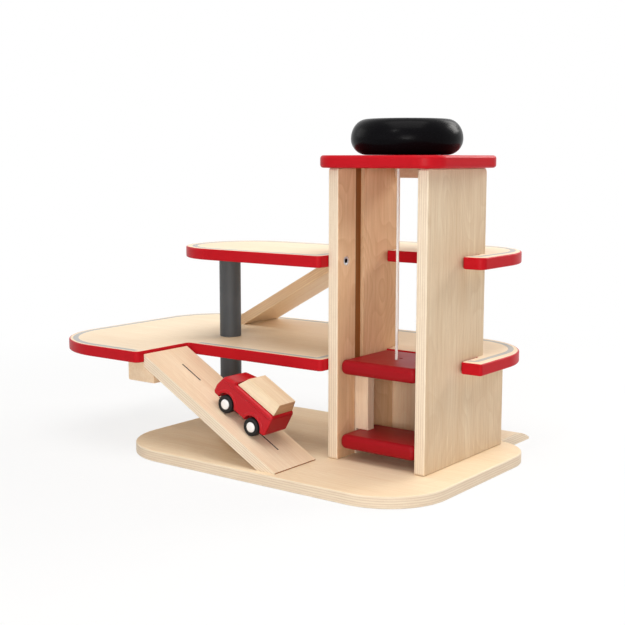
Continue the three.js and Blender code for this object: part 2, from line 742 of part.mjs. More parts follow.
// The cord turns from the hole in the cap towards the drum.
function cordLead() {
  const path = new THREE.QuadraticBezierCurve3(
    at(0, 0, 0),
    at(0, 0, CORD_BEND_RADIUS),
    at(CORD_BEND_RADIUS, 0, CORD_BEND_RADIUS),
  );
  return cordAlong(path, CORD_STEPS);
}

// The turns that are on the drum while the lift is down.
class Winding extends THREE.Curve {
  getPoint(share, target = new THREE.Vector3()) {
    const first = Math.asin(CORD_BEND_RADIUS / CORD_TURN_RADIUS) - Math.PI / 2;
    const angle = first + share * WINDING_TURNS * 2 * Math.PI;
    return target.set(
      CORD_TURN_RADIUS * Math.cos(angle),
      CORD_TURN_RADIUS * Math.sin(angle),
      share * WINDING_TURNS * WINDING_PITCH,
    );
  }
}

function knob() {
  const profile = [
    [0, DRUM_HEIGHT],
    [KNOB_HOLLOW_RADIUS, DRUM_HEIGHT],
    [KNOB_HOLLOW_RADIUS, 0],
  ];
  const quarter = Math.PI / 2;
  const upper = KNOB_HEIGHT - KNOB_CROWN - KNOB_WAIST_HEIGHT;
  for (let step = -KNOB_CORNER_STEPS; step <= KNOB_CORNER_STEPS; step += 1) {
    const angle = (step / KNOB_CORNER_STEPS) * quarter;
    const height = step < 0 ? KNOB_WAIST_HEIGHT : upper;
    profile.push([
      KNOB_RADIUS - KNOB_SHOULDER * (1 - Math.cos(angle)),
      KNOB_WAIST_HEIGHT + height * Math.sin(angle),
    ]);
  }
  profile.push([0, KNOB_HEIGHT]);
  const bore = rod(SPINDLE_RADIUS + SNUG, OVERRUN + SPINDLE_GRIP + SNUG);
  return cut(turned(profile, KNOB_STEPS), [bore.translate(0, 0, DRUM_HEIGHT - OVERRUN)]);
}

function drum() {
  const shape = turned([
    [0, 0],
    [DRUM_RADIUS, 0],
    [DRUM_RADIUS, DRUM_HEIGHT - DRUM_FLANGE_THICKNESS],
    [DRUM_FLANGE_RADIUS, DRUM_HEIGHT - DRUM_FLANGE_THICKNESS],
    [DRUM_FLANGE_RADIUS, DRUM_HEIGHT],
    [0, DRUM_HEIGHT],
  ], POST_STEPS);
  const bore = rod(SPINDLE_RADIUS + SNUG, DRUM_HEIGHT + 2 * OVERRUN);
  return cut(shape, [bore.translate(0, 0, -OVERRUN)]);
}

function ring(inner, outer, length, steps) {
  const bore = rod(inner, length + 2 * OVERRUN, steps);
  return cut(rod(outer, length, steps), [bore.translate(0, 0, -OVERRUN)]);
}

// The screw that the knob and its drum turn on, up through the cap from below. Its head
// and washer lie in a recess of the cap's underside.
function spindle() {
  const length = BUSH_LENGTH + 2 * GAP + WASHER_THICKNESS + DRUM_HEIGHT + SPINDLE_GRIP;
  return turned([
    [0, 0],
    [SPINDLE_HEAD_RADIUS, 0],
    [SPINDLE_HEAD_RADIUS, SPINDLE_HEAD_HEIGHT],
    [SPINDLE_RADIUS, SPINDLE_HEAD_HEIGHT],
    [SPINDLE_RADIUS, SPINDLE_HEAD_HEIGHT + length],
    [0, SPINDLE_HEAD_HEIGHT + length],
  ], ROUND_STEPS);
}

// The truck's own frame has its origin on the ramp's toe, X down the ramp and Z square
// to the ramp's top.
function truckBody() {
  const rear = -TRUCK_REAR;
  const nose = rear - TRUCK_LENGTH;
  const brow = nose + TRUCK_BROW_BACK;
  const roofBack = brow + TRUCK_ROOF_LENGTH;
  const shape = outline([
    [rear, TRUCK_CLEARANCE, TRUCK_CORNER],
    [rear, TRUCK_BED_HEIGHT, TRUCK_CORNER],
    [roofBack, TRUCK_BED_HEIGHT, 0],
    [roofBack, TRUCK_ROOF_HEIGHT, 0],
    [brow, TRUCK_BROW_HEIGHT, TRUCK_CORNER],
    [nose, TRUCK_NOSE_HEIGHT, TRUCK_NOSE_ROUND],
    [nose, TRUCK_CLEARANCE, TRUCK_CORNER],
  ]);
  const shell = boardAlongY(shape, TRUCK_WIDTH, TRUCK_EDGE).translate(0, TRUCK_WIDTH / 2, 0);
  const keel = box(
    at(-FRONT_AXLE - KEEL_PAST_AXLE, -KEEL_WIDTH / 2, KEEL_CLEARANCE),
    at(-REAR_AXLE + KEEL_PAST_AXLE, KEEL_WIDTH / 2, TRUCK_CLEARANCE + TRUCK_CORNER),
  );
  const arches = [FRONT_AXLE, REAR_AXLE].flatMap((ahead) => [-1, 1].map((side) => {
    const arch = rod(WHEEL_RADIUS + ARCH_GAP, ARCH_DEPTH + OVERRUN, WHEEL_STEPS);
    const foot = at(-ahead, side * (TRUCK_WIDTH / 2 - ARCH_DEPTH), WHEEL_CENTRE_HEIGHT);
    return pointed(arch, at(0, side, 0), foot);
  }));
  const bores = [FRONT_AXLE, REAR_AXLE].map((ahead) => {
    const bore = rod(AXLE_RADIUS + GAP, TRUCK_WIDTH);
    return pointed(bore, BACK, at(-ahead, -TRUCK_WIDTH / 2, WHEEL_CENTRE_HEIGHT));
  });
  return cut(join([cut(shell, arches), keel]), bores);
}

// The load is a wooden block with leaning sides and a slanting front, and lies on the
// bed behind the cab. It starts at x = 0.
function loadBlock() {
  const half = LOAD_WIDTH / 2;
  const endView = outline([
    [-half, 0, 0],
    [half, 0, 0],
    [half - LOAD_LEAN, LOAD_HEIGHT, 0],
    [-half + LOAD_LEAN, LOAD_HEIGHT, 0],
  ]);
  const inFront = outline([
    [0, 0, 0],
    [LOAD_FRONT_SLANT, LOAD_HEIGHT, 0],
    [LOAD_FRONT_SLANT, LOAD_HEIGHT + OVERRUN, 0],
    [-OVERRUN, LOAD_HEIGHT + OVERRUN, 0],
    [-OVERRUN, 0, 0],
  ]);
  const wedge = boardAlongY(inFront, LOAD_WIDTH + 2 * OVERRUN, 0).translate(0, half + OVERRUN, 0);
  return cut(boardAlongX(endView, LOAD_LENGTH, LOAD_EDGE), [wedge]);
}

// A wheel's pieces stand on the axle's middle, with the outer face away from the truck.
const WHEEL_OUTER = TRUCK_WIDTH / 2 + WHEEL_PROUD;
const WHEEL_INNER = WHEEL_OUTER - WHEEL_WIDTH;

function hub(side) {
  const shape = turned([
    [0, 0],
    [HUB_RADIUS, 0],
    [HUB_RADIUS, WHEEL_WIDTH],
    [HUB_RADIUS - HUB_DOME, WHEEL_WIDTH + HUB_DOME / 2],
    [0, WHEEL_WIDTH + HUB_DOME],
  ], WHEEL_STEPS);
  const bore = rod(AXLE_RADIUS + GAP, OVERRUN + AXLE_GRIP + GAP).translate(0, 0, -OVERRUN);
  return pointed(cut(shape, [bore]), at(0, side, 0), at(0, side * WHEEL_INNER, 0));
}

function tyre(side) {
  const inner = HUB_RADIUS + GAP;
  const shape = turned([
    [inner, 0],
    [WHEEL_RADIUS - TYRE_EDGE, 0],
    [WHEEL_RADIUS, TYRE_EDGE],
    [WHEEL_RADIUS, WHEEL_WIDTH - TYRE_EDGE],
    [WHEEL_RADIUS - TYRE_EDGE, WHEEL_WIDTH],
    [inner, WHEEL_WIDTH],
    [inner, 0],
  ], WHEEL_STEPS);
  return pointed(shape, at(0, side, 0), at(0, side * WHEEL_INNER, 0));
}

function axle() {
  const half = WHEEL_INNER + AXLE_GRIP;
  return pointed(rod(AXLE_RADIUS, 2 * half), BACK, at(0, -half, 0));
}

// The whole garage
const garage = new THREE.Group();

const tower = new THREE.Group();
tower.position.z = BASE_TOP;
garage.add(tower);
mesh('base_board', baseBoard(), 'ply', garage);
mesh('left_side_panel', sidePanel(-1), 'ply', tower);
mesh('right_side_panel', sidePanel(1), 'ply', tower);
mesh('rear_wall', rearWall(), 'ply', tower);
mesh('top_brace', topBrace(), 'ply', tower).position.z = CAP_BOTTOM - BRACE_HEIGHT - BASE_TOP;
mesh('cap_board', capBoard(), 'red', garage).position.z = CAP_BOTTOM;
mesh('middle_deck', middleDeck(), 'deck', garage).position.z = MIDDLE_BOTTOM;
mesh('upper_deck', upperDeck(), 'deck', garage).position.z = UPPER_BOTTOM;
mesh('lower_post', post(BASE_TOP, MIDDLE_BOTTOM), 'grey', garage).position.z = BASE_TOP;
mesh('upper_post', post(MIDDLE_TOP, UPPER_BOTTOM), 'grey', garage).position.z = MIDDLE_TOP;

const lowerRamp = ramp(-LOWER_RAMP_RUN, MIDDLE_TOP - BASE_TOP - RAMP_DROP);
mesh('lower_ramp', lowerRamp, 'ply', garage).position.set(LOWER_TOE_X, LOWER_RAMP_BACK, BASE_TOP);
const upperRamp = ramp(UPPER_RAMP_RUN, UPPER_TOP - MIDDLE_TOP - RAMP_DROP);
mesh('upper_ramp', upperRamp, 'ply', garage).position.set(UPPER_TOE_X, UPPER_RAMP_BACK, MIDDLE_TOP);

const lowerBlock = mesh('lower_ramp_block', rampBlock(1, LOWER_SLOPE), 'ply', garage);
lowerBlock.position.set(-MIDDLE_STEP, LOWER_RAMP_BACK, MIDDLE_BOTTOM);
const upperBlock = mesh('upper_ramp_block', rampBlock(-1, UPPER_SLOPE), 'ply', garage);
upperBlock.position.set(-UPPER_STEP, UPPER_RAMP_BACK, UPPER_BOTTOM);
mesh('rear_ramp', rearRamp(), 'ply', garage).position.set(-REAR_RAMP_WIDTH / 2, BASE_BACK, 0);

for (const one of screws) {
  mesh(one.name, fastener(SCREW, UP, one.foot), 'steel', garage);
}
for (const one of bolts) {
  mesh(one.name, fastener(BOLT, one.direction, one.foot), 'steel', garage);
}
for (const one of capDowels) {
  mesh(one.name, dowel(DOWEL_RADIUS, DOWEL_BITE, UP, one.middle), 'ply', garage);
}
for (const one of postDowels) {
  mesh(one.name, dowel(THICK_DOWEL_RADIUS, THICK_DOWEL_BITE, UP, one.middle), 'ply', garage);
}

const bush = ring(SPINDLE_RADIUS + SNUG, BUSH_RADIUS, BUSH_LENGTH, ROUND_STEPS);
mesh('cap_bush', bush, 'brass', garage).position.set(0, KNOB_Y, CAP_BOTTOM + RECESS_DEPTH);
mesh('cord_lead', cordLead(), 'cord', garage).position.set(0, CORD_Y, CAP_TOP + GAP);
const hanging = rod(CORD_RADIUS, CAP_TOP - MIDDLE_TOP - GAP, CORD_STEPS);
mesh('lift_cord', hanging, 'cord', garage).position.set(0, CORD_Y, MIDDLE_TOP + GAP);

const knobGroup = new THREE.Group();
knobGroup.position.set(0, KNOB_Y, KNOB_BOTTOM);
garage.add(knobGroup);
mesh('knob', knob(), 'black', knobGroup);
mesh('drum', drum(), 'ply', knobGroup);
const winding = cordAlong(new Winding(), WINDING_TURNS * TURN_STEPS);
mesh('cord_winding', winding, 'cord', knobGroup).position.z = CORD_BEND_RADIUS + 2 * CORD_RADIUS + GAP;
const washer = ring(SPINDLE_RADIUS + SNUG, WASHER_RADIUS, WASHER_THICKNESS, ROUND_STEPS);
const washerBottom = -BUSH_LENGTH - 2 * GAP - WASHER_THICKNESS;
mesh('spindle_washer', washer, 'steel', knobGroup).position.z = washerBottom;
mesh('spindle', spindle(), 'steel', knobGroup).position.z = washerBottom - SPINDLE_HEAD_HEIGHT;

const lift = new THREE.Group();
garage.add(lift);
mesh('upper_platform', upperPlatform(), 'red', lift).position.z = UPPER_PLATFORM_BOTTOM;
mesh('lower_platform', lowerPlatform(), 'red', lift).position.z = LOWER_PLATFORM_BOTTOM;
const guideBack = GUIDE_FRONT + GUIDE_THICKNESS;
mesh('left_guide_post', guidePost(-1), 'ply', lift).position.y = guideBack;
mesh('right_guide_post', guidePost(1), 'ply', lift).position.y = guideBack;
for (const one of platformDowels) {
  mesh(one.name, dowel(DOWEL_RADIUS, DOWEL_BITE, UP, one.middle), 'ply', lift);
}
mesh('cord_knot', cordKnot(), 'cord', lift).position.y = CORD_Y;

const truck = new THREE.Group();
truck.position.set(LOWER_TOE_X, TRUCK_Y, BASE_TOP);
truck.rotation.y = LOWER_SLOPE;
garage.add(truck);
mesh('truck_body', truckBody(), 'red', truck);
const loadFront = -TRUCK_REAR - TRUCK_LENGTH + TRUCK_BROW_BACK + TRUCK_ROOF_LENGTH + GAP;
mesh('load_block', loadBlock(), 'deck', truck).position.set(loadFront, 0, TRUCK_BED_HEIGHT + GAP);
for (const [name, ahead] of [['front', FRONT_AXLE], ['rear', REAR_AXLE]]) {
  const wheels = new THREE.Group();
  wheels.position.set(-ahead, 0, WHEEL_CENTRE_HEIGHT);
  truck.add(wheels);
  mesh(`${name}_axle`, axle(), 'steel', wheels);
  for (const [hand, side] of SIDES) {
    mesh(`${name}_${hand}_hub`, hub(side), 'white', wheels);
    mesh(`${name}_${hand}_tyre`, tyre(side), 'tyre', wheels);
  }
}

export default garage;
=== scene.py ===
"""Looks for the toy parking garage with lift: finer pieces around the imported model, their
paints and woods, a white studio and the camera. Sizes are in millimetres, and those of the
lamps, the camera and the floor's fade in metres."""

import json
import math

import bmesh
import bpy
from mathutils import Matrix, Vector


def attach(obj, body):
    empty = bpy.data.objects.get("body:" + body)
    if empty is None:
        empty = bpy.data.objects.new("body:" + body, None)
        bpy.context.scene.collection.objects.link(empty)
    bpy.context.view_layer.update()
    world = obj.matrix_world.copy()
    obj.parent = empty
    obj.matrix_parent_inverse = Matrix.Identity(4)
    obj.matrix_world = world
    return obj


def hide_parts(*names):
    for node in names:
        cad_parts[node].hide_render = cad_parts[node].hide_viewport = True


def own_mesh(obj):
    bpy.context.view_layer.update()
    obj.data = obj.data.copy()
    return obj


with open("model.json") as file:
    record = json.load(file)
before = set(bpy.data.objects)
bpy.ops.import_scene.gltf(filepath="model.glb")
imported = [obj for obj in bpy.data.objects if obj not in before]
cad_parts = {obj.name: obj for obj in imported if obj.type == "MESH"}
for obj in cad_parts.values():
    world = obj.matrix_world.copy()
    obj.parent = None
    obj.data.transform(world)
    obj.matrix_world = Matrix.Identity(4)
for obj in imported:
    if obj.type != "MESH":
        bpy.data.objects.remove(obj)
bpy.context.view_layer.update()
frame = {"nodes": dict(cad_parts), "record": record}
MM = 0.001

# Sizes of the real object
PLY = 12.0
SOFT_EDGE = 1.5
BASE_TOP = 12.0
BASE_LEFT, BASE_RIGHT, BASE_FRONT, BASE_BACK = -289, 94, -87, 174
MIDDLE_BOTTOM, MIDDLE_TOP = 104.0, 116.0
UPPER_BOTTOM, UPPER_TOP = 209.7, 221.7
CAP_BOTTOM, CAP_TOP = 309.0, 321.5
CAP_HALF, CAP_FRONT, CAP_BACK, CAP_ROUND, CAP_EDGE = 71, -13, 128, 25, 3.2
BUSH_HOLE, WASHER_RECESS, RECESS_DEPTH = 6.65, 10, 5
PANEL_IN, PANEL_MIDDLE, PANEL_OUT = 46.0, 52, 58.0
TOWER_BACK, TOWER_FOOT_BACK = 115, 160
BRACE_HEIGHT = 11
LAP = 100.0
GROOVE_FRONT, GROOVE_BACK, GROOVE_DEPTH = 31, 46, 4
SCREW_FRONT, SCREW_BACK, SCREW_HOLE = 15.1, 115, 4.75
BOLT_LEVELS = {"middle_deck": 110, "upper_deck": 215.7}
BOLT_Y = {"left": 15.1, "right": 80}
BOLT_HOLE, SUNK, SHANK_HOLE, SHANK_HOLE_DEPTH = 5.95, 0.45, 2.7, 2.6
MIDDLE_LEFT, MIDDLE_NOTCH, MIDDLE_LOBE_FRONT, MIDDLE_FRONT = -403, -241.5, -90, -11
UPPER_LEFT, UPPER_NOTCH, UPPER_LOBE_BACK, UPPER_FRONT = -276.5, -124, 126, -15
DECK_BACK, DECK_RIGHT, WING_FRONT, SHAFT_BACK = 214, 83, 64.5, 88.5
DECK_ROUND, UPPER_ROUND = 88, 66
LANE_WIDTH, DASH_WIDTH, DASH_LENGTH, DASH_STARTS = 6, 1.8, 30.0, (28.5, 88.8, 149.2)
LOWER_TOE, UPPER_TOE = -61.5, -307.0
RAMP_WIDTH, RAMP_EDGE, RAMP_BLUNT = 66.5, 0.3, 1.9
RAMP_GAP, RAMP_LEDGE = 0.3, 3.4
LOWER_RAMP_BACK, UPPER_RAMP_BACK = -13.5, 197.5
LOWER_DASH_Y, UPPER_DASH_Y = -45.8, 164.2
BLOCK_INWARD, BLOCK_OUTWARD, BLOCK_HEIGHT = 23.8, 13.9, 21.5
REAR_RAMP_LEFT, REAR_RAMP_WIDTH = -50, 100
POST = (-237.0, 55.0)
POST_RADIUS = 12.2
KNOB_Y, KNOB_GAP, KNOB_RADIUS, KNOB_ROUND, KNOB_CROWN = 53.5, 0.3, 56, 16, 19.4
KNOB_HEIGHT, KNOB_HOLLOW, KNOB_HOLLOW_HEIGHT = 36, 33, 20
CORD_Y, CORD_GAP = 38.55, 0.3
CORD_HOLE, SPARE_HOLE_BEHIND, KNOT_POCKET, KNOT_POCKET_DEPTH = 2.1, 9, 4.5, 9
STRAND_RADIUS, STRAND_ORBIT, STRAND_PITCH, STRAND_STEP = 0.76, 0.73, 6.4, 0.45
LOWER_PLATFORM, UPPER_PLATFORM = 24, 101
PLATFORM_HALF, PLATFORM_FRONT, PLATFORM_ROUND = 45, 1.5, 7
PLATFORM_HEIGHT, PLATFORM_EDGE = 15, 6
UPPER_PLATFORM_BACK, LOWER_PLATFORM_BACK = 86, 65
GUIDE_IN, GUIDE_OUT, GUIDE_BACK, GUIDE_THICKNESS = 30.5, 45.3, 44.5, 12
TONGUE_OUT, TONGUE_BOTTOM, TONGUE_TOP = 49.5, 12.3, 110
TRUCK_Y, TRUCK_WIDTH = -44.6, 37
AXLES = {"rear": -59.1, "front": -98.1}
WHEEL_UP, ARCH_RADIUS, ARCH_INNER, ARCH_DEPTH = 9.8, 11.9, 9.9, 13.6
TYRE_RADIUS, TYRE_INNER, TYRE_OUTER = 9.5, 11.1, 19.1
HUB_RADIUS, AXLE_HOLE, AXLE_END = 5.3, 1.9, 16.4
X, Y, Z = Vector((1, 0, 0)), Vector((0, 1, 0)), Vector((0, 0, 1))
SIDES = (("left", -1), ("right", 1))
OVERRUN = 5  # how far a cutter reaches past the face it cuts into
FLAT = 0.75  # a face whose normal's part along an axis is above this lies across that axis
ARC_STEP = 4.0  # degrees between the points of a round corner

LOWER_RUN, LOWER_RISE = LOWER_TOE - MIDDLE_NOTCH - RAMP_GAP, MIDDLE_TOP - BASE_TOP - RAMP_LEDGE
UPPER_RUN, UPPER_RISE = UPPER_NOTCH - UPPER_TOE - RAMP_GAP, UPPER_TOP - MIDDLE_TOP - RAMP_LEDGE
LOWER_SLOPE, UPPER_SLOPE = math.atan2(LOWER_RISE, LOWER_RUN), math.atan2(UPPER_RISE, UPPER_RUN)
LOWER_FOOT, UPPER_FOOT = Vector((LOWER_TOE, 0, BASE_TOP)), Vector((UPPER_TOE, 0, MIDDLE_TOP))
RAMP_UP = Vector((-math.cos(LOWER_SLOPE), 0, math.sin(LOWER_SLOPE)))
RAMP_OUT = Vector((math.sin(LOWER_SLOPE), 0, math.cos(LOWER_SLOPE)))
UPPER_UP = Vector((math.cos(UPPER_SLOPE), 0, math.sin(UPPER_SLOPE)))
UPPER_OUT = Vector((-math.sin(UPPER_SLOPE), 0, math.cos(UPPER_SLOPE)))


# Outlines and meshes
def outline(corners, inset=0.0):
    """A closed outline from corners (x, y, radius), anticlockwise, moved in by the inset."""
    points = []
    count = len(corners)
    for i, (x, y, radius) in enumerate(corners):
        corner = Vector((x, y))
        back = (Vector(corners[i - 1][:2]) - corner).normalized()
        ahead = (Vector(corners[(i + 1) % count][:2]) - corner).normalized()
        convex = back.x * ahead.y - back.y * ahead.x < 0
        sign = 1.0 if convex else -1.0
        half = math.acos(max(-1.0, min(1.0, back.dot(ahead)))) / 2
        middle = (back + ahead).normalized()
        if not radius:
            points.append(corner + middle * (sign * inset / math.sin(half)))
            continue
        centre = corner + middle * (radius / math.sin(half))
        tangent = radius / math.tan(half)
        start, end = corner + back * tangent - centre, corner + ahead * tangent - centre
        sweep = math.atan2(start.x * end.y - start.y * end.x, start.dot(end))
        steps = max(3, math.ceil(abs(math.degrees(sweep)) / ARC_STEP))
        share = (radius - sign * inset) / radius
        for k in range(steps + 1):
            turn = Matrix.Rotation(sweep * k / steps, 2)
            points.append(centre + (turn @ start) * share)
    return points


def rectangle(x0, y0, x1, y1, radius):
    """The corners of a rectangle that are all as round, for outline()."""
    return [(x0, y0, radius), (x1, y0, radius), (x1, y1, radius), (x0, y1, radius)]


def new_object(name, verts, faces, materials, slots=None):
    """A mesh object in the scene, with its faces turned outwards."""
    mesh = bpy.data.meshes.new(name)
    mesh.from_pydata([tuple(v) for v in verts], [], faces)
    for material in materials:
        mesh.materials.append(material)
    if slots is not None:
        mesh.polygons.foreach_set("material_index", slots)
    mesh.update()
    obj = bpy.data.objects.new(name, mesh)
    bpy.context.scene.collection.objects.link(obj)
    bm = bmesh.new()
    bm.from_mesh(mesh)
    bmesh.ops.recalc_face_normals(bm, faces=bm.faces)
    bm.to_mesh(mesh)
    bm.free()
    return obj


def tube_faces(turns, ring, first=0):
    """The faces of a closed tube whose rings of points are listed one after the other."""
    faces = []
    for k in range(turns):
        for j in range(ring):
            a, b = first + k * ring + j, first + k * ring + (j + 1) % ring
            faces.append((a, b, b + ring, a + ring))
    faces.append(tuple(first + j for j in reversed(range(ring))))
    faces.append(tuple(first + turns * ring + j for j in range(ring)))
    return faces


def board(name, corners, thickness, edge, materials, origin=(0, 0, 0), axes=(X, Y, Z), steps=5):
    """A board of the outline with rounded edges. Its materials are those of its faces and rim."""
    rings = []
    for k in range(steps + 1):
        turn = math.pi / 2 * k / steps
        rings.append((edge * (1 - math.sin(turn)), edge * (1 - math.cos(turn))))
    rings += [(inset, thickness - height) for inset, height in reversed(rings)]
    origin, verts = Vector(origin), []
    for inset, height in rings:
        for p in outline(corners, inset):
            verts.append(origin + axes[0] * p.x + axes[1] * p.y + axes[2] * height)
    faces = tube_faces(len(rings) - 1, len(verts) // len(rings))
    slots = [1] * (len(faces) - 2) + [0, 0]
    return new_object(name, verts, faces, materials, slots)


def box(name, low, high, edge, materials):
    """A block with rounded edges. Its first material is on the two faces across Y."""
    corners = rectangle(low[2], low[0], high[2], high[0], edge * 1.2)
    thickness = high[1] - low[1]
    return board(name, corners, thickness, edge, materials, Y * low[1], (Z, X, Y), steps=3)


def lathe(name, profile, materials, origin=(0, 0, 0), axis=Z, steps=64, slots=None):
    """A profile of (radius, height) turned about an axis. The slots are for its stretches."""
    origin, axis = Vector(origin), Vector(axis).normalized()
    side = axis.orthogonal().normalized()
    other = axis.cross(side)
    verts, rings, faces, marks = [], [], [], []
    for radius, height in profile:
        if radius < 1e-6:
            rings.append([len(verts)] * steps)
            verts.append(origin + axis * height)
            continue
        ring = []
        for k in range(steps):
            turn = 2 * math.pi * k / steps
            ring.append(len(verts))
            spoke = side * math.cos(turn) + other * math.sin(turn)
            verts.append(origin + spoke * radius + axis * height)
        rings.append(ring)
    for r in range(len(rings) - 1):
        for k in range(steps):
            j = (k + 1) % steps
            face = [rings[r][k], rings[r][j], rings[r + 1][j], rings[r + 1][k]]
            face = [v for i, v in enumerate(face) if v != face[i - 1]]
            if len(face) > 2:
                faces.append(tuple(face))
                marks.append(slots[r] if slots else 0)
    return new_object(name, verts, faces, materials, marks)


def rounded(points, steps):
    """A profile whose corners (radius, height, fillet) are rounded where a fillet is given."""
    result = []
    for i, (r, h, fillet) in enumerate(points):
        here = Vector((r, h))
        if not fillet or i in (0, len(points) - 1):
            result.append((r, h))
            continue
        back = (Vector(points[i - 1][:2]) - here).normalized()
        ahead = (Vector(points[i + 1][:2]) - here).normalized()
        half = math.acos(max(-1, min(1, back.dot(ahead)))) / 2
        centre = here + (back + ahead).normalized() * (fillet / math.sin(half))
        tangent = fillet / math.tan(half)
        start, end = here + back * tangent - centre, here + ahead * tangent - centre
        sweep = math.atan2(start.x * end.y - start.y * end.x, start.dot(end))
        for k in range(steps + 1):
            p = centre + Matrix.Rotation(sweep * k / steps, 2) @ start
            result.append((p.x, p.y))
    return result


def settle(obj):
    """Applies an object's modifiers."""
    graph = bpy.context.evaluated_depsgraph_get()
    graph.update()
    mesh = bpy.data.meshes.new_from_object(obj.evaluated_get(graph))
    obj.modifiers.clear()
    obj.data = mesh


def carve(obj, cutters, operation="DIFFERENCE"):
    """Cuts the cutters out of an object, or joins them to it, and removes them."""
    for cutter in cutters:
        cut = obj.modifiers.new("cut", "BOOLEAN")
        cut.object, cut.operation, cut.solver = cutter, operation, "EXACT"
    settle(obj)
    for cutter in cutters:
        bpy.data.objects.remove(cutter)


# The six faces of a block whose corners are listed with Z changing fastest and X slowest
BLOCK_FACES = [(0, 1, 3, 2), (4, 6, 7, 5), (0, 4, 5, 1), (2, 3, 7, 6), (0, 2, 6, 4), (1, 5, 7, 3)]


def block(low, high):
    """A plain cutter."""
    x0, y0, z0 = low
    x1, y1, z1 = high
    verts = [(x, y, z) for x in (x0, x1) for y in (y0, y1) for z in (z0, z1)]
    return new_object("cutter", verts, BLOCK_FACES, [])


def bore(radius, length, foot, axis=Z, steps=48):
    """A round cutter."""
    profile = [(0, 0), (radius, 0), (radius, length), (0, length)]
    return lathe("cutter", profile, [], foot, axis, steps)


def repaint(obj, choose):
    """Gives each face the material index that choose(centre, normal) names."""
    for face in obj.data.polygons:
        face.material_index = choose(face.center, face.normal)


def place(obj, body, slot, *nodes, angle=32.0):
    """Turns a finished mesh from millimetres to metres, smooths its shading, hangs it on its body
    and hides the CAD nodes that it stands in for.
    """
    obj.data.transform(Matrix.Scale(MM, 4))
    obj.data.polygons.foreach_set("use_smooth", [True] * len(obj.data.polygons))
    obj.data.set_sharp_from_angle(angle=math.radians(angle))
    weigh = obj.modifiers.new("normals", "WEIGHTED_NORMAL")
    weigh.keep_sharp = True
    weigh.weight = 80
    settle(obj)
    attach(obj, body)
    if nodes:
        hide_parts(*nodes)


# Materials
class Nodes:
    """A small helper that adds nodes to a tree and wires them."""

    def __init__(self, tree):
        self.tree = tree

    def node(self, kind, inputs=(), **settings):
        """A new node with its settings, its inputs set to values or linked to sockets."""
        made = self.tree.nodes.new(kind)
        for key, value in settings.items():
            setattr(made, key, value)
        for key, value in dict(inputs).items():
            self.set(made.inputs[key], value)
        return made

    def set(self, socket, value):
        """Links a socket to another one, or gives it a value."""
        if isinstance(value, bpy.types.NodeSocket):
            self.tree.links.new(value, socket)
        elif isinstance(value, tuple) and socket.type == "RGBA":
            socket.default_value = (*value, 1)
        else:
            socket.default_value = value

    def math(self, operation, a, b=0.0, c=0.0):
        return self.node("ShaderNodeMath", {0: a, 1: b, 2: c}, operation=operation).outputs[0]

    def mix_shaders(self, factor, a, b, output):
        """Mixes two shaders into the tree's output."""
        both = self.node("ShaderNodeMixShader", {0: factor, 1: a, 2: b})
        self.set(self.tree.nodes[output].inputs["Surface"], both.outputs["Shader"])

    def seen_by_eye(self):
        """1 where the camera, a mirror or a glass looks, 0 for the light that falls on things."""
        path = self.node("ShaderNodeLightPath").outputs
        either = self.math("MAXIMUM", path["Is Camera Ray"], path["Is Glossy Ray"])
        return self.math("MAXIMUM", either, path["Is Transmission Ray"])


class Shader(Nodes):
    """A material and its nodes."""

    def __init__(self, name):
        self.material = bpy.data.materials.new(name)
        self.material.use_nodes = True
        super().__init__(self.material.node_tree)
        self.surface = self.tree.nodes["Principled BSDF"]

    def place(self):
        """Where a point lies in its object's own frame, in metres."""
        return self.node("ShaderNodeTexCoord").outputs["Object"]

    def along(self, direction, scale=1.0, shift=0.0):
        """How far a point lies along a direction, in millimetres times the scale."""
        inputs = {0: self.place(), 1: tuple(direction)}
        where = self.node("ShaderNodeVectorMath", inputs, operation="DOT_PRODUCT")
        return self.math("MULTIPLY_ADD", where.outputs["Value"], scale / MM, shift)

    def vector(self, x, y, z):
        return self.node("ShaderNodeCombineXYZ", {0: x, 1: y, 2: z}).outputs[0]

    def stretched(self, places, scales):
        """A vector of the places, each times its scale."""
        return self.vector(*(self.math("MULTIPLY", a, k) for a, k in zip(places, scales)))

    def noise(self, vector, scale=1.0, detail=3.0, roughness=0.55, distortion=0.0):
        return self.node("ShaderNodeTexNoise", {
            "Vector": vector, "Scale": scale, "Detail": detail, "Roughness": roughness,
            "Distortion": distortion,
        }).outputs["Fac"]

    def ramp(self, value, stops):
        """A colour or a grey for each stretch of a value, from stops (place, colour or grey)."""
        made = self.node("ShaderNodeValToRGB", {"Fac": value})
        while len(made.color_ramp.elements) < len(stops):
            made.color_ramp.elements.new(0.5)
        for element, (where, colour) in zip(made.color_ramp.elements, stops):
            element.position = where
            element.color = (*colour, 1) if isinstance(colour, tuple) else (colour,) * 3 + (1,)
        return made.outputs["Color"]

    def mix(self, factor, a, b, kind="MIX"):
        """A colour mix; its sockets are taken by type, as the node has several of each name."""
        made = self.node("ShaderNodeMix", data_type="RGBA", blend_type=kind)
        colours = [s for s in made.inputs if s.type == "RGBA"]
        self.set(made.inputs[0], factor)
        for socket, value in zip(colours, (a, b)):
            self.set(socket, value)
        return next(s for s in made.outputs if s.type == "RGBA")

    def bump(self, height, strength, distance_mm, below=None):
        """A normal bent by a height, on top of an earlier bump if one is given."""
        inputs = {"Height": height, "Strength": strength, "Distance": distance_mm * MM}
        if below is not None:
            inputs["Normal"] = below
        return self.node("ShaderNodeBump", inputs).outputs["Normal"]

    def finish(self, **sockets):
        """Sets the surface's sockets, named as in the node but for the underscores."""
        for key, value in sockets.items():
            name = key.replace("_", " ")
            found = next(s for s in self.surface.inputs if s.name.lower() == name.lower())
            self.set(found, value)
        return self.material


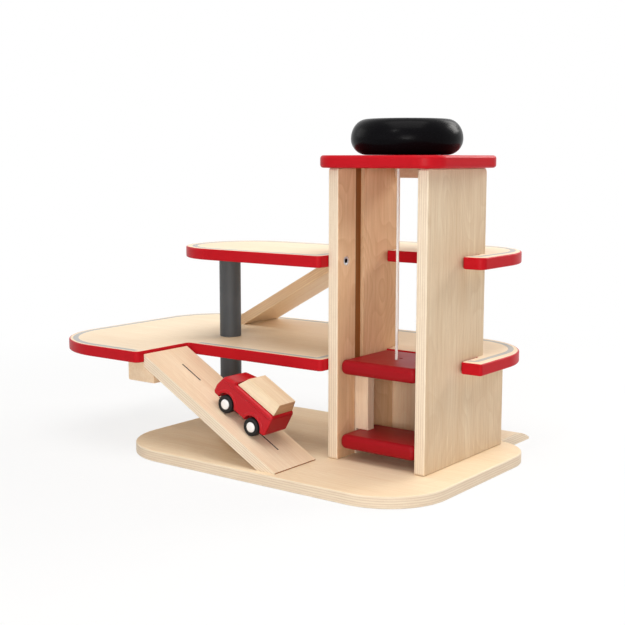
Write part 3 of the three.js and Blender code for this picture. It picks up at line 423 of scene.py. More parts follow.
BIRCH = (0.90, 0.75, 0.56)
BIRCH_DARK = (0.78, 0.575, 0.385)
PLY_PALE = (0.85, 0.735, 0.575)
PLY_DARK = (0.68, 0.515, 0.37)
GLUE = (0.45, 0.28, 0.20)
PLIES = 5


def wood(name, grain, across, pale=BIRCH, dark=BIRCH_DARK, contrast=1.0, seed=0.0, gloss=0.48,
         coat=0.12, figure=0.5):
    """Lacquered wood: arched figure, long streaks, short pores and a slow drift of tone."""
    s = Shader(name)
    grain, across = Vector(grain).normalized(), Vector(across).normalized()
    third = grain.cross(across)
    u = s.along(grain, 1.0, seed * 37)
    v, w = s.along(across, 1.0, seed * 11), s.along(third, 1.0)
    places = (u, v, w)
    broad = s.noise(s.stretched(places, (0.006, 0.05, 0.05)), 1.0, 3.0, 0.5, 0.6)
    hill = s.noise(s.stretched(places, (0.0075, 0.017, 0.02)), 1.0, 1.5, 0.4)
    rise = s.math("MULTIPLY_ADD", hill, 15.0, s.math("MULTIPLY", v, 0.056))
    arch = s.math("FRACT", s.math("ADD", rise, 50.0))
    arches = s.ramp(arch, [(0.0, 0.0), (0.62, 0.55), (0.9, 1.0), (1.0, 0.0)])
    streaks = s.noise(s.stretched(places, (0.009, 0.5, 0.5)), 1.0, 4.0, 0.62)
    fibre = s.noise(s.stretched(places, (0.06, 2.6, 2.6)), 1.0, 3.0, 0.6)
    flecks = s.noise(s.stretched(places, (0.16, 1.6, 1.6)), 1.0, 2.0, 0.5)
    tone = s.math("ADD", s.math("MULTIPLY", s.ramp(broad, [(0.3, 0.0), (0.72, 1.0)]), 0.5),
                  s.math("MULTIPLY", s.ramp(streaks, [(0.38, 0.0), (0.68, 1.0)]), 0.5))
    colour = s.mix(s.math("MULTIPLY", tone, 0.8 * contrast), pale, dark)
    colour = s.mix(s.math("MULTIPLY", arches, 0.5 * figure), colour, dark)
    fibres = s.ramp(fibre, [(0.3, 1.0), (0.75, 1.0 - 0.10 * contrast)])
    colour = s.mix(1.0, colour, fibres, "MULTIPLY")
    pores = s.ramp(flecks, [(0.66, 0.0), (0.78, 1.0)])
    pore_colour = tuple(c * 0.66 for c in dark)
    colour = s.mix(s.math("MULTIPLY", pores, 0.30 * contrast), colour, pore_colour)
    rough = s.math("MULTIPLY_ADD", fibre, 0.16, gloss - 0.06)
    bumps = s.bump(s.math("ADD", fibre, s.math("MULTIPLY", pores, -0.6)), 0.35, 0.06)
    return s.finish(base_color=colour, roughness=rough, normal=bumps, coat_weight=coat,
                    coat_roughness=0.5, specular_ior_level=0.22)


def ply_edge(name, layer, low, run, pale=PLY_PALE, dark=PLY_DARK, seed=0.0):
    """The edge of plywood: its layers across the thickness, thin glue lines between them."""
    s = Shader(name)
    layer, run = Vector(layer).normalized(), Vector(run).normalized()
    third = layer.cross(run)
    u, w = s.along(run, 1.0, seed * 23), s.along(third, 1.0, seed * 7)
    sway_at = s.vector(s.math("MULTIPLY", u, 0.02), s.math("MULTIPLY", w, 0.02), seed)
    sway = s.noise(sway_at, 1.0, 2.0)
    depth = s.math("ADD", s.along(layer, PLIES / PLY, -low * PLIES / PLY),
                   s.math("MULTIPLY_ADD", sway, 0.30, -0.15))
    part = s.math("FRACT", s.math("ADD", depth, 20.0))
    parity = s.math("MODULO", s.math("FLOOR", s.math("ADD", depth, 20.0)), 2.0)
    grain_long = s.noise(s.stretched((u, w, depth), (0.05, 0.05, 2.2)), 1.0, 3.0)
    grain_end = s.noise(s.stretched((u, w, depth), (1.3, 1.3, 1.3)), 1.0, 3.0)
    long_colour = s.mix(s.ramp(grain_long, [(0.35, 0.0), (0.7, 0.45)]), pale, dark)
    end_colour = s.mix(s.ramp(grain_end, [(0.3, 0.1), (0.72, 0.6)]), pale, dark)
    colour = s.mix(s.math("MULTIPLY", parity, 0.55), long_colour, end_colour)
    from_glue = s.math("MINIMUM", part, s.math("SUBTRACT", 1.0, part))
    glue = s.ramp(from_glue, [(0.0, 1.0), (0.06, 0.75), (0.15, 0.0)])
    colour = s.mix(s.math("MULTIPLY", glue, 0.55), colour, GLUE)
    rough = s.math("MULTIPLY_ADD", grain_end, 0.2, 0.42)
    height = s.math("ADD", s.math("MULTIPLY", glue, -0.5), s.math("MULTIPLY", grain_end, 0.5))
    return s.finish(base_color=colour, roughness=rough, normal=s.bump(height, 0.4, 0.08),
                    coat_weight=0.05, coat_roughness=0.35, specular_ior_level=0.3)


def paint(name, colour, worn, rough, grain=X, shine=0.12, orange_peel=0.10):
    """Brushed or sprayed paint on wood: the grain shows faintly, with soft wear and scuffs."""
    s = Shader(name)
    grain = Vector(grain).normalized()
    third = Y if abs(grain.y) < 0.7 else X
    across = grain.cross(third)
    u, v, w = s.along(grain), s.along(across), s.along(third)
    fibre = s.noise(s.stretched((u, v, w), (0.07, 1.3, 1.3)), 1.0, 3.0)
    peel = s.noise(s.place(), 420.0, 2.0, 0.5)
    cloud = s.noise(s.place(), 26.0, 3.0, 0.6)
    scuff = s.noise(s.place(), 160.0, 5.0, 0.7, 0.4)
    base = s.mix(s.ramp(cloud, [(0.3, 0.0), (0.75, 0.5)]), colour, worn)
    base = s.mix(s.ramp(scuff, [(0.66, 0.0), (0.82, 0.35)]), base, worn)
    base = s.mix(1.0, base, s.ramp(fibre, [(0.25, 0.92), (0.75, 1.0)]), "MULTIPLY")
    roughness = s.math("ADD", s.math("MULTIPLY_ADD", cloud, 0.14, rough - 0.07),
                       s.math("MULTIPLY", fibre, 0.07))
    low = s.bump(fibre, 0.22, 0.08)
    normal = s.bump(peel, orange_peel, 0.05, low)
    return s.finish(base_color=base, roughness=roughness, normal=normal, specular_ior_level=shine)


def rubber(name):
    """Dull black rubber with a little dust; it also stands as painted shade in the bolts' sockets.
    """
    s = Shader(name)
    dust = s.noise(s.place(), 300.0, 4.0, 0.65)
    amount = s.ramp(dust, [(0.45, 0.0), (0.8, 0.35)])
    colour = s.mix(amount, (0.005, 0.005, 0.0055), (0.02, 0.019, 0.018))
    return s.finish(base_color=colour, roughness=s.math("MULTIPLY_ADD", dust, 0.2, 0.55),
                    normal=s.bump(dust, 0.25, 0.06), specular_ior_level=0.35)


def hub_white(name):
    """White plastic, slightly clouded."""
    s = Shader(name)
    cloud = s.noise(s.place(), 220.0, 3.0, 0.6)
    amount = s.ramp(cloud, [(0.4, 0.0), (0.75, 0.4)])
    colour = s.mix(amount, (0.90, 0.90, 0.905), (0.78, 0.77, 0.75))
    return s.finish(base_color=colour, roughness=s.math("MULTIPLY_ADD", cloud, 0.12, 0.3),
                    normal=s.bump(cloud, 0.08, 0.04))


def cotton(name):
    """White cotton cord with its fuzz."""
    s = Shader(name)
    fuzz = s.noise(s.place(), 2600.0, 3.0, 0.6)
    soft = s.noise(s.place(), 60.0, 2.0)
    amount = s.ramp(soft, [(0.3, 0.0), (0.7, 0.5)])
    colour = s.mix(amount, (0.99, 0.975, 0.95), (0.93, 0.89, 0.84))
    colour = s.mix(1.0, colour, s.ramp(fuzz, [(0.3, 0.82), (0.7, 1.0)]), "MULTIPLY")
    return s.finish(base_color=colour, roughness=0.9, normal=s.bump(fuzz, 0.4, 0.05),
                    sheen_weight=0.25)


def metal(name, colour, rough):
    """Metal with fine upright lines from its turning."""
    s = Shader(name)
    side = Z.orthogonal().normalized()
    lines_at = s.vector(s.along(Z, 0.4), s.along(side, 9.0), s.along(Z.cross(side), 9.0))
    lines = s.noise(lines_at, 1.0, 3.0)
    haze = s.noise(s.place(), 250.0, 3.0)
    amount = s.ramp(haze, [(0.35, 0.0), (0.7, 0.5)])
    base = s.mix(amount, colour, tuple(c * 0.78 for c in colour))
    return s.finish(base_color=base, metallic=1.0, normal=s.bump(lines, 0.12, 0.02),
                    roughness=s.math("MULTIPLY_ADD", lines, 0.18, rough - 0.05))


WOOD_X = wood("birch_along_x", X, Y, (0.95, 0.80, 0.59), (0.82, 0.60, 0.38), seed=1.0,
              figure=0.45, coat=0.04)
WOOD_DECK = wood("birch_deck", X, Y, (0.94, 0.80, 0.61), (0.84, 0.65, 0.45), seed=2.3,
                 gloss=0.55, coat=0.28)
WOOD_PANEL = wood("birch_upright", Z, Y, (0.82, 0.68, 0.50), (0.66, 0.48, 0.31),
                  contrast=1.55, seed=4.1, gloss=0.5, figure=0.95, coat=0.05)
# Painted warm bounce light: the shaft's inner faces and the groove's walls take a warmer, more
# orange copy of the panel birch.
WOOD_INNER_BOUNCE = wood("birch_shaft_side_painted_bounce_light", Z, Y, (0.92, 0.65, 0.41), (0.70, 0.43, 0.235),
                  contrast=1.3, seed=5.2, gloss=0.55, figure=1.1, coat=0.04)
# Painted light: the wall behind the lift is a brighter, warmer birch that stands in for light and
# warm bounce in the shaft.
WOOD_WALL_LIT = wood("birch_wall_painted_light", Z, X, (0.99, 0.78, 0.55), (0.88, 0.58, 0.36),
                 contrast=1.3, seed=6.7, coat=0.0)
# Painted shade: a dark birch for the groove's floor and the ramps' blunt toes, where shade falls.
WOOD_GROOVE_SHADE = wood("birch_groove_painted_shade", Z, Y, (0.34, 0.13, 0.028), (0.21, 0.075, 0.016),
                   contrast=1.2, seed=7.4, gloss=0.7)
WOOD_LOWER = wood("birch_lower_ramp", RAMP_UP, Y, (0.93, 0.77, 0.585), (0.79, 0.575, 0.385),
                  contrast=1.2, seed=8.2, figure=0.4, coat=0.25)
# Painted light: the upper ramp, seen from below, is a brighter birch that stands in for light
# reaching its underside.
WOOD_UPPER_LIT = wood("birch_upper_ramp_painted_light", UPPER_UP, Y, (0.98, 0.79, 0.56), (0.85, 0.60, 0.38),
                  contrast=1.2, seed=9.6, coat=0.04)
WOOD_REAR = wood("birch_rear_ramp", Y, X, seed=12.4)
BEECH_Y = wood("beech_along_y", Y, X, (0.88, 0.70, 0.51), (0.74, 0.52, 0.33),
               contrast=1.2, seed=14.9)
BEECH_Z = wood("beech_upright", Z, X, (0.95, 0.77, 0.58), (0.80, 0.585, 0.40),
               contrast=1.2, seed=17.3, coat=0.04)
BEECH_LOAD = wood("beech_load", RAMP_UP, Y, (0.93, 0.78, 0.575), (0.77, 0.57, 0.365),
                  contrast=1.25, seed=19.5)
BEECH_END = wood("beech_load_end", Y, RAMP_OUT, (0.53, 0.31, 0.17), (0.38, 0.21, 0.11),
                 contrast=1.3, seed=21.0, gloss=0.6)
EDGE_Z = ply_edge("ply_edge_flat", Z, 0.0, X, (0.79, 0.675, 0.52), (0.62, 0.46, 0.32),
                  seed=1.7)
EDGE_LEFT = ply_edge("ply_edge_left_panel", X, -PANEL_OUT, Z, seed=2.9)
EDGE_RIGHT = ply_edge("ply_edge_right_panel", X, PANEL_IN, Z, seed=3.8)
EDGE_LOWER = ply_edge("ply_edge_lower_ramp", RAMP_OUT, LOWER_FOOT.dot(RAMP_OUT) - PLY, RAMP_UP,
                      seed=5.1)
# Painted warm shade: the upper ramp's edge takes a darker, more orange ply than the other edges.
EDGE_UPPER_SHADE = ply_edge("ply_edge_upper_ramp_painted_warm_shade", UPPER_OUT, UPPER_FOOT.dot(UPPER_OUT) - PLY,
                      UPPER_UP, (0.92, 0.70, 0.47), (0.64, 0.39, 0.21), seed=6.3)
EDGE_REAR = ply_edge("ply_edge_rear_ramp", Z, 0.0, Y, seed=7.7)
RED = paint("red_gloss", (0.49, 0.008, 0.0145), (0.55, 0.013, 0.022), rough=0.30, shine=0.06)
RED_LIFT = paint("red_lift", (0.32, 0.006, 0.0105), (0.36, 0.009, 0.015), rough=0.34, shine=0.10)
RED_TRUCK = paint("red_truck", (0.48, 0.0085, 0.015), (0.54, 0.015, 0.025), rough=0.22,
                  grain=RAMP_UP, shine=0.18, orange_peel=0.35)
GREY = paint("grey_satin", (0.075, 0.082, 0.092), (0.10, 0.108, 0.118), rough=0.42, grain=Z,
             shine=0.25)
GREY_LINE = paint("grey_line", (0.47, 0.47, 0.47), (0.57, 0.56, 0.54), rough=0.5)
DASH_LINE = paint("dash_line", (0.078, 0.064, 0.064), (0.11, 0.092, 0.088), rough=0.5,
                  grain=RAMP_UP)
BLACK = paint("black_gloss", (0.0030, 0.0028, 0.0036), (0.0042, 0.004, 0.005), rough=0.22,
              shine=0.035, orange_peel=0.03)
TYRE = rubber("tyre_rubber")
HUB = hub_white("hub_white")
CORD = cotton("cord_cotton")
STEEL = metal("zinc_steel", (0.66, 0.67, 0.69), 0.26)
BRASS = metal("turned_brass", (0.62, 0.46, 0.20), 0.3)
# Painted shade: dark rubber stands in for the shade in the bolts' sockets and round their heads.
SOCKET_SHADE = rubber("socket_painted_shade")

# Boards of the garage
base_outline = [(BASE_LEFT, BASE_FRONT, 68), (BASE_RIGHT, BASE_FRONT, 68),
                (BASE_RIGHT, BASE_BACK, 50), (BASE_LEFT, BASE_BACK, 70)]
base = board("garage_base", base_outline, PLY, SOFT_EDGE, [WOOD_X, EDGE_Z])
repaint(base, lambda centre, normal: 0 if abs(normal.z) > FLAT else 1)
screws = [(x, y) for y in (SCREW_FRONT, SCREW_BACK) for x in (-PANEL_MIDDLE, PANEL_MIDDLE)]
carve(base, [bore(SCREW_HOLE, OVERRUN + SUNK, (x, y, -OVERRUN)) for x, y in (*screws, POST)])
place(base, "garage", "plywood", "base_board")


def side_panel(side, hand, edge_material):
    """A tower side, drawn in Y and Z, with its groove and the two laps for the decks."""
    low = -PANEL_OUT if hand < 0 else PANEL_IN
    corners = [(0, BASE_TOP, 3), (TOWER_FOOT_BACK, BASE_TOP, 0),
               (TOWER_FOOT_BACK, MIDDLE_BOTTOM, 3), (TOWER_BACK, MIDDLE_BOTTOM, 0),
               (TOWER_BACK, CAP_BOTTOM, 5), (0, CAP_BOTTOM, 3)]
    materials = [WOOD_PANEL, edge_material, WOOD_INNER_BOUNCE, WOOD_GROOVE_SHADE]
    panel = board(f"tower_{side}", corners, PLY, SOFT_EDGE, materials, X * low, (Y, Z, X))
    shaft, floor = hand * (PANEL_IN - OVERRUN), hand * (PANEL_IN + GROOVE_DEPTH)
    cutters = [block((min(shaft, floor), GROOVE_FRONT, BASE_TOP - OVERRUN),
                     (max(shaft, floor), GROOVE_BACK, CAP_BOTTOM + OVERRUN))]
    for level in (MIDDLE_BOTTOM, UPPER_BOTTOM):
        cutters.append(block((low - OVERRUN, LAP, level),
                             (low + PLY + OVERRUN, TOWER_BACK + OVERRUN, level + PLY + 0.15)))
    for level in BOLT_LEVELS.values():
        start = (shaft, BOLT_Y[side], level)
        cutters.append(bore(BOLT_HOLE, OVERRUN + SUNK, start, X * hand))
        cutters.append(bore(SHANK_HOLE, OVERRUN + SHANK_HOLE_DEPTH, start, X * hand, 24))
    carve(panel, cutters)

    def surface(centre, normal):
        """Outside, edge, shaft side or floor of the groove. The shaft side and the groove's walls
        take a warmer birch as painted bounce light, and the groove's floor takes a dark birch as
        painted shade.
        """
        deep = PANEL_IN + 0.5 < abs(centre.x) < PANEL_IN + 5
        if normal.x * hand > FLAT:
            return 0
        if normal.x * hand < -FLAT:
            return 3 if deep else 2
        in_groove = deep and GROOVE_FRONT - 1 < centre.y < GROOVE_BACK + 1
        return 2 if in_groove and abs(normal.y) > 0.7 else 1

    repaint(panel, surface)
    place(panel, "garage", "plywood", f"{side}_side_panel")


side_panel("left", -1, EDGE_LEFT)
side_panel("right", 1, EDGE_RIGHT)
wall = box("shaft_wall", (-PANEL_IN, TOWER_BACK - PLY, BASE_TOP),
           (PANEL_IN, TOWER_BACK, MIDDLE_BOTTOM), 0.3, [WOOD_WALL_LIT, EDGE_Z])
place(wall, "garage", "plywood", "rear_wall")
brace = box("tower_brace", (-PANEL_IN, TOWER_BACK - PLY, CAP_BOTTOM - BRACE_HEIGHT),
            (PANEL_IN, TOWER_BACK, CAP_BOTTOM), 0.5, [BEECH_Y, BEECH_Y])
place(brace, "garage", "beech", "top_brace")

cap = board("cap", rectangle(-CAP_HALF, CAP_FRONT, CAP_HALF, CAP_BACK, CAP_ROUND),
            CAP_TOP - CAP_BOTTOM, CAP_EDGE, [RED, RED], (0, 0, CAP_BOTTOM), steps=8)
below, through = CAP_BOTTOM - OVERRUN, CAP_TOP - CAP_BOTTOM + 2 * OVERRUN
carve(cap, [bore(BUSH_HOLE, through, (0, KNOB_Y, below)),
            bore(WASHER_RECESS, OVERRUN + RECESS_DEPTH, (0, KNOB_Y, below)),
            bore(CORD_HOLE, through, (0, CORD_Y, below), steps=24)])
place(cap, "garage", "red_paint", "cap_board")


def tower_edge(front, wing_round):
    """The decks' outline round the tower and its shaft, up to their right back corner."""
    outer, inner = PANEL_OUT + 0.5, PANEL_IN - 0.5
    return [(-outer, front, 5), (-outer, LAP, 0), (-inner, LAP, 0), (-inner, SHAFT_BACK, 2),
            (inner, SHAFT_BACK, 2), (inner, LAP, 0), (outer, LAP, 0), (outer, WING_FRONT, 5),
            (DECK_RIGHT, WING_FRONT, wing_round), (DECK_RIGHT, DECK_BACK, DECK_ROUND)]


MIDDLE = [(MIDDLE_LEFT, MIDDLE_LOBE_FRONT, DECK_ROUND), (MIDDLE_NOTCH, MIDDLE_LOBE_FRONT, 6),
          (MIDDLE_NOTCH, MIDDLE_FRONT, 3), *tower_edge(MIDDLE_FRONT, 3),
          (MIDDLE_LEFT, DECK_BACK, DECK_ROUND)]
UPPER = [(UPPER_LEFT, UPPER_FRONT, UPPER_ROUND), *tower_edge(UPPER_FRONT, 8),
         (UPPER_NOTCH, DECK_BACK, 6), (UPPER_NOTCH, UPPER_LOBE_BACK, 3),
         (UPPER_LEFT, UPPER_LOBE_BACK, UPPER_ROUND)]
for name, corners, bottom, node in (("deck_middle", MIDDLE, MIDDLE_BOTTOM, "middle_deck"),
                                    ("deck_upper", UPPER, UPPER_BOTTOM, "upper_deck")):
    deck = board(name, corners, PLY, SOFT_EDGE, [WOOD_DECK, RED], (0, 0, bottom))
    place(deck, "garage", "deck_plywood", node)


def ribbon(name, path, width, material, up=Z, height=0.06):
    """A thin strip of paint that lies on a face along an open path of points in it."""
    verts, last = [], len(path) - 1
    for i, p in enumerate(path):
        before, after = path[max(i - 1, 0)], path[min(i + 1, last)]
        a = (p - before).normalized() if (p - before).length else (after - p).normalized()
        b = (after - p).normalized() if (after - p).length else a
        side_a, side_b = up.cross(a), up.cross(b)
        side = (side_a + side_b).normalized()
        side *= min(1.6, 1 / max(0.3, side.dot(side_a))) * width / 2
        verts += [p + side, p - side, p - side + up * height, p + side + up * height]
    return new_object(name, verts, tube_faces(last, 4), [material])


def nearest(path, corner):
    """The number of the point in a path that lies nearest a corner."""
    return min(range(len(path)), key=lambda i: (path[i].xy - Vector(corner[:2])).length)


def line_path(corners, level, first, last):
    """The outline as one open path from one of its corners to another, both given by number."""
    path = [Vector((p.x, p.y, level)) for p in outline(corners)]
    start = nearest(path, corners[first])
    path = path[start:] + path[:start]
    return path[:nearest(path, corners[last]) + 1]


# Each grey line's level, the corners it starts and ends at, and the outline it runs along
LANES = {
    "lane_middle_front": (MIDDLE_TOP, 0, 2, [
        (-231.5, -3.5, 0), (-68.5, -3.5, 3), (-68.5, 50, 0), (-231.5, 50, 0)]),
    "lane_middle_round": (MIDDLE_TOP, 7, 4, [
        (70, 77, 3), (70, 203, 66), (-395.5, 206, 80), (-395.5, -82.5, 80.5), (-250, -82.5, 0),
        (-250, 0, 0), (62, 0, 0), (62, 77, 0)]),
    "lane_upper_round": (UPPER_TOP, 9, 7, [
        (70, 77, 3), (70, 203, 66), (-114, 203, 3), (-114, 116, 3), (-266.5, 116, 56),
        (-266.5, -6, 57), (-68.5, -6, 3), (-68.5, 50, 0), (62, 50, 0), (62, 77, 0)]),
}
for name, (level, first, last, corners) in LANES.items():
    path = line_path(corners, level, first, last)
    place(ribbon(name, path, LANE_WIDTH, GREY_LINE), "garage", "grey_paint")


# Ramps and their blocks
def ramp(name, foot, side, run, rise, back, materials, node):
    """Side +1 climbs to the right, -1 to the left. Drawn in X and Z, then run along Y."""
    slope = math.atan2(rise, run)
    drawn = [(RAMP_BLUNT, 0, 0), (PLY / math.sin(slope), 0, 0),
             (run, rise - PLY / math.cos(slope), 0), (run, rise, 0),
             (RAMP_BLUNT, RAMP_BLUNT * math.tan(slope), 0)]
    axes = (X * side, Z, -Y)
    obj = board(name, drawn, RAMP_WIDTH, RAMP_EDGE, materials, foot + Y * back, axes, 3)

    def surface(centre, normal):
        """Faces, sawn edge, or the blunt toe's face, darkened as painted shade."""
        if (centre.x - foot.x) * side < RAMP_BLUNT + 0.1:
            return 2
        return 1 if abs(normal.y) > FLAT else 0

    repaint(obj, surface)
    place(obj, "garage", "plywood", node)


ramp("ramp_lower", LOWER_FOOT, -1, LOWER_RUN, LOWER_RISE, LOWER_RAMP_BACK,
     [WOOD_LOWER, EDGE_LOWER, WOOD_GROOVE_SHADE], "lower_ramp")
ramp("ramp_upper", UPPER_FOOT, 1, UPPER_RUN, UPPER_RISE, UPPER_RAMP_BACK,
     [WOOD_UPPER_LIT, EDGE_UPPER_SHADE, WOOD_GROOVE_SHADE], "upper_ramp")


def ramp_block(name, notch, level, side, slope, back, node):
    """The block under a deck's notch, with the ledge that the ramp's top end lies on."""
    ledge = PLY - RAMP_LEDGE - PLY / math.cos(slope) - RAMP_GAP
    drawn = [(-BLOCK_INWARD, 0, 0), (-BLOCK_INWARD, -BLOCK_HEIGHT, 2),
             (BLOCK_OUTWARD, -BLOCK_HEIGHT, 0),
             (BLOCK_OUTWARD, ledge - BLOCK_OUTWARD * math.tan(slope), 0),
             (0, ledge, 0), (0, 0, 0)]
    obj = board(name, drawn, RAMP_WIDTH, 1.0, [BEECH_Y, BEECH_Y], (notch, back, level),
                (X * side, Z, -Y), 4)
    place(obj, "garage", "beech", node)


ramp_block("block_lower", MIDDLE_NOTCH, MIDDLE_BOTTOM, 1, LOWER_SLOPE, LOWER_RAMP_BACK,
           "lower_ramp_block")
ramp_block("block_upper", UPPER_NOTCH, UPPER_BOTTOM, -1, UPPER_SLOPE, UPPER_RAMP_BACK,
           "upper_ramp_block")

for ramp_name, foot, up, out, middle in (
    ("lower", LOWER_FOOT, RAMP_UP, RAMP_OUT, LOWER_DASH_Y),
    ("upper", UPPER_FOOT, UPPER_UP, UPPER_OUT, UPPER_DASH_Y),
):
    for number, start in enumerate(DASH_STARTS):
        path = [foot + up * (start + DASH_LENGTH * k / 4) + Y * middle for k in range(5)]
        dash = ribbon(f"dash_{ramp_name}_{number + 1}", path, DASH_WIDTH, DASH_LINE, out)
        place(dash, "garage", "grey_paint")


def curve_through(points, steps):
    """A smooth path through points."""
    result = []
    padded = [points[0]] + points + [points[-1]]
    for i in range(1, len(padded) - 2):
        p0, p1, p2, p3 = (Vector(p) for p in padded[i - 1:i + 3])
        for k in range(steps):
            t = k / steps
            bend = (p2 - p0) * t + (2 * p0 - 5 * p1 + 4 * p2 - p3) * t * t
            result.append(0.5 * ((2 * p1) + bend + (3 * p1 - p0 - 3 * p2 + p3) * t ** 3))
    result.append(Vector(points[-1]))
    return result


# The hump behind the base, drawn in Y and Z from the base's back edge
crown = [(69.8, 2.2), (59.4, 7.4), (46.2, 11.3), (31.6, 12.9), (16.3, 12.6), (0.3, 11.8)]
profile = [(0.3, 0, 0), (69.8, 0, 0)] + [(p.x, p.y, 0) for p in curve_through(crown, 6)]
rear = board("ramp_rear", profile, REAR_RAMP_WIDTH, 0.5, [EDGE_REAR, WOOD_REAR],
             (REAR_RAMP_LEFT, BASE_BACK, 0), (Y, Z, X), 3)
place(rear, "garage", "plywood", "rear_ramp")

# Posts
for name, node, low, high in (("post_lower", "lower_post", BASE_TOP, MIDDLE_BOTTOM),
                              ("post_upper", "upper_post", MIDDLE_TOP, UPPER_BOTTOM)):
    sides = [(0, low, 0), (POST_RADIUS, low, 0.8), (POST_RADIUS, high, 0.8), (0, high, 0)]
    place(lathe(name, rounded(sides, 4), [GREY], (*POST, 0)), "garage", "grey_paint", node)

# The knob on top, hollow below for its drum
foot, arc = CAP_TOP + KNOB_GAP, 16
hollow_top = foot + KNOB_HOLLOW_HEIGHT
profile = [(0, hollow_top), (KNOB_HOLLOW, hollow_top), (KNOB_HOLLOW, foot)]
for k in range(-arc, arc + 1):
    turn = k / arc * math.pi / 2
    height = KNOB_ROUND if k < 0 else KNOB_CROWN
    profile.append((KNOB_RADIUS - KNOB_ROUND * (1 - math.cos(turn)),
                    foot + KNOB_ROUND + height * math.sin(turn)))
crest = foot + KNOB_HEIGHT
profile += [(30, crest - 0.4), (15, crest - 0.1), (0, crest)]
knob = lathe("knob_top", profile, [BLACK], (0, KNOB_Y, 0), steps=96)
place(knob, "knob", "black_paint", "knob")


# The lift
def platform(name, bottom, back, node, holes=()):
    """One of the lift's two floors."""
    corners = rectangle(-PLATFORM_HALF, PLATFORM_FRONT, PLATFORM_HALF, back, PLATFORM_ROUND)
    obj = board(name, corners, PLATFORM_HEIGHT, PLATFORM_EDGE, [RED_LIFT, RED_LIFT],
                (0, 0, bottom), steps=10)
    if holes:
        carve(obj, holes)
    place(obj, "lift", "red_paint", node)


below, through = UPPER_PLATFORM - OVERRUN, PLATFORM_HEIGHT + 2 * OVERRUN
platform("platform_upper", UPPER_PLATFORM, UPPER_PLATFORM_BACK, "upper_platform", [
    bore(CORD_HOLE, through, (0, CORD_Y, below), steps=24),
    bore(CORD_HOLE, through, (0, CORD_Y + SPARE_HOLE_BEHIND, below), steps=24),
    bore(KNOT_POCKET, OVERRUN + KNOT_POCKET_DEPTH, (0, CORD_Y, below), steps=32)])
platform("platform_lower", LOWER_PLATFORM, LOWER_PLATFORM_BACK, "lower_platform")

for side, hand in SIDES:
    low, high = LOWER_PLATFORM + PLATFORM_HEIGHT, UPPER_PLATFORM
    drawn = [(GUIDE_IN, low), (GUIDE_OUT, low), (GUIDE_OUT, TONGUE_BOTTOM),
             (TONGUE_OUT, TONGUE_BOTTOM), (TONGUE_OUT, TONGUE_TOP), (GUIDE_OUT, TONGUE_TOP),
             (GUIDE_OUT, high), (GUIDE_IN, high)]
    obj = board(f"guide_{side}", [(x, z, 0) for x, z in drawn], GUIDE_THICKNESS, 0.9,
                [BEECH_Z, BEECH_Z], (0, GUIDE_BACK, 0), (X * hand, Z, -Y), 4)
    place(obj, "lift", "beech", f"{side}_guide_post")

# The cord, three strands laid together
verts, faces = [], []
low, high, ring = UPPER_PLATFORM + PLATFORM_HEIGHT + CORD_GAP, CAP_TOP, 10
steps = int((high - low) / STRAND_STEP)
for strand in range(3):
    for k in range(steps + 1):
        z = low + (high - low) * k / steps
        turn = 2 * math.pi * (z / STRAND_PITCH + strand / 3)
        middle = Vector((STRAND_ORBIT * math.cos(turn), CORD_Y + STRAND_ORBIT * math.sin(turn), z))
        for j in range(ring):
            a = 2 * math.pi * j / ring
            spoke = Vector((STRAND_RADIUS * math.cos(a), STRAND_RADIUS * math.sin(a), 0))
            verts.append(middle + spoke)
    faces += tube_faces(steps, ring, strand * (steps + 1) * ring)
cord = new_object("lift_cord_laid", verts, faces, [CORD])
place(cord, "garage", "cord", "lift_cord", angle=80)
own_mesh(cord)

# The truck
truck = Matrix.Translation((LOWER_TOE, TRUCK_Y, BASE_TOP)) @ Matrix.Rotation(LOWER_SLOPE, 4, "Y")


def on_truck(obj):
    """Moves a mesh from the truck's own frame, X down the ramp from its toe, to the garage's."""
    obj.data.transform(truck)
    return obj


# The truck's side view in its own frame: tail, bed, cab and nose
body_shape = [(-41, 10.6, 4), (-41, 35.6, 4), (-96.2, 35.6, 0), (-96.2, 38.8, 0),
              (-113.7, 33.8, 4), (-118.3, 20.5, 6), (-118.3, 10.6, 4)]
body = board("truck_shell", body_shape, TRUCK_WIDTH, 3.0, [RED_TRUCK, RED_LIFT],
             (0, TRUCK_WIDTH / 2, 0), (X, Z, -Y), 6)
arches = [bore(ARCH_RADIUS, ARCH_DEPTH, (x, hand * ARCH_INNER, WHEEL_UP), Y * hand, 64)
          for x in AXLES.values() for side, hand in SIDES]
creases = [bore(0.8, 90, (-113, hand * 18.6, 31.2), X, 20) for side, hand in SIDES]
carve(body, arches + creases)
# The keel below the body, through which both axles go
keel = block((AXLES["front"] - 8, -8.5, 6.2), (AXLES["rear"] + 8, 8.5, 14.6))
carve(body, [keel], "UNION")
# Painted shade: the tail's face, turned away from the light, takes the darker lift red.
repaint(body, lambda centre, normal: 1 if normal.x > 0.85 and centre.x > -45 else 0)
place(on_truck(body), "truck", "red_paint", "truck_body", angle=30)


def flare(name, x, hand):
    """The swelling of the truck's side round a wheel arch, tapering at its ends."""
    verts = []
    turns, around = 40, 10
    start, sweep = 12, 156
    side, low, rise, half = 18.2, 0.3, 0.85, 1.85
    middle = ARCH_RADIUS + half
    for k in range(turns + 1):
        share = k / turns
        turn = math.radians(start + sweep * share)
        taper = min(1.0, 6 * share, 6 * (1 - share)) ** 0.5
        for j in range(around + 1):
            roll = math.pi * j / around
            radius = middle - half * math.cos(roll)
            out = side + (low + rise * taper) * math.sin(roll)
            verts.append(Vector((x + radius * math.cos(turn), hand * out,
                                 WHEEL_UP + radius * math.sin(turn))))
    return new_object(name, verts, tube_faces(turns, around + 1), [RED_TRUCK])


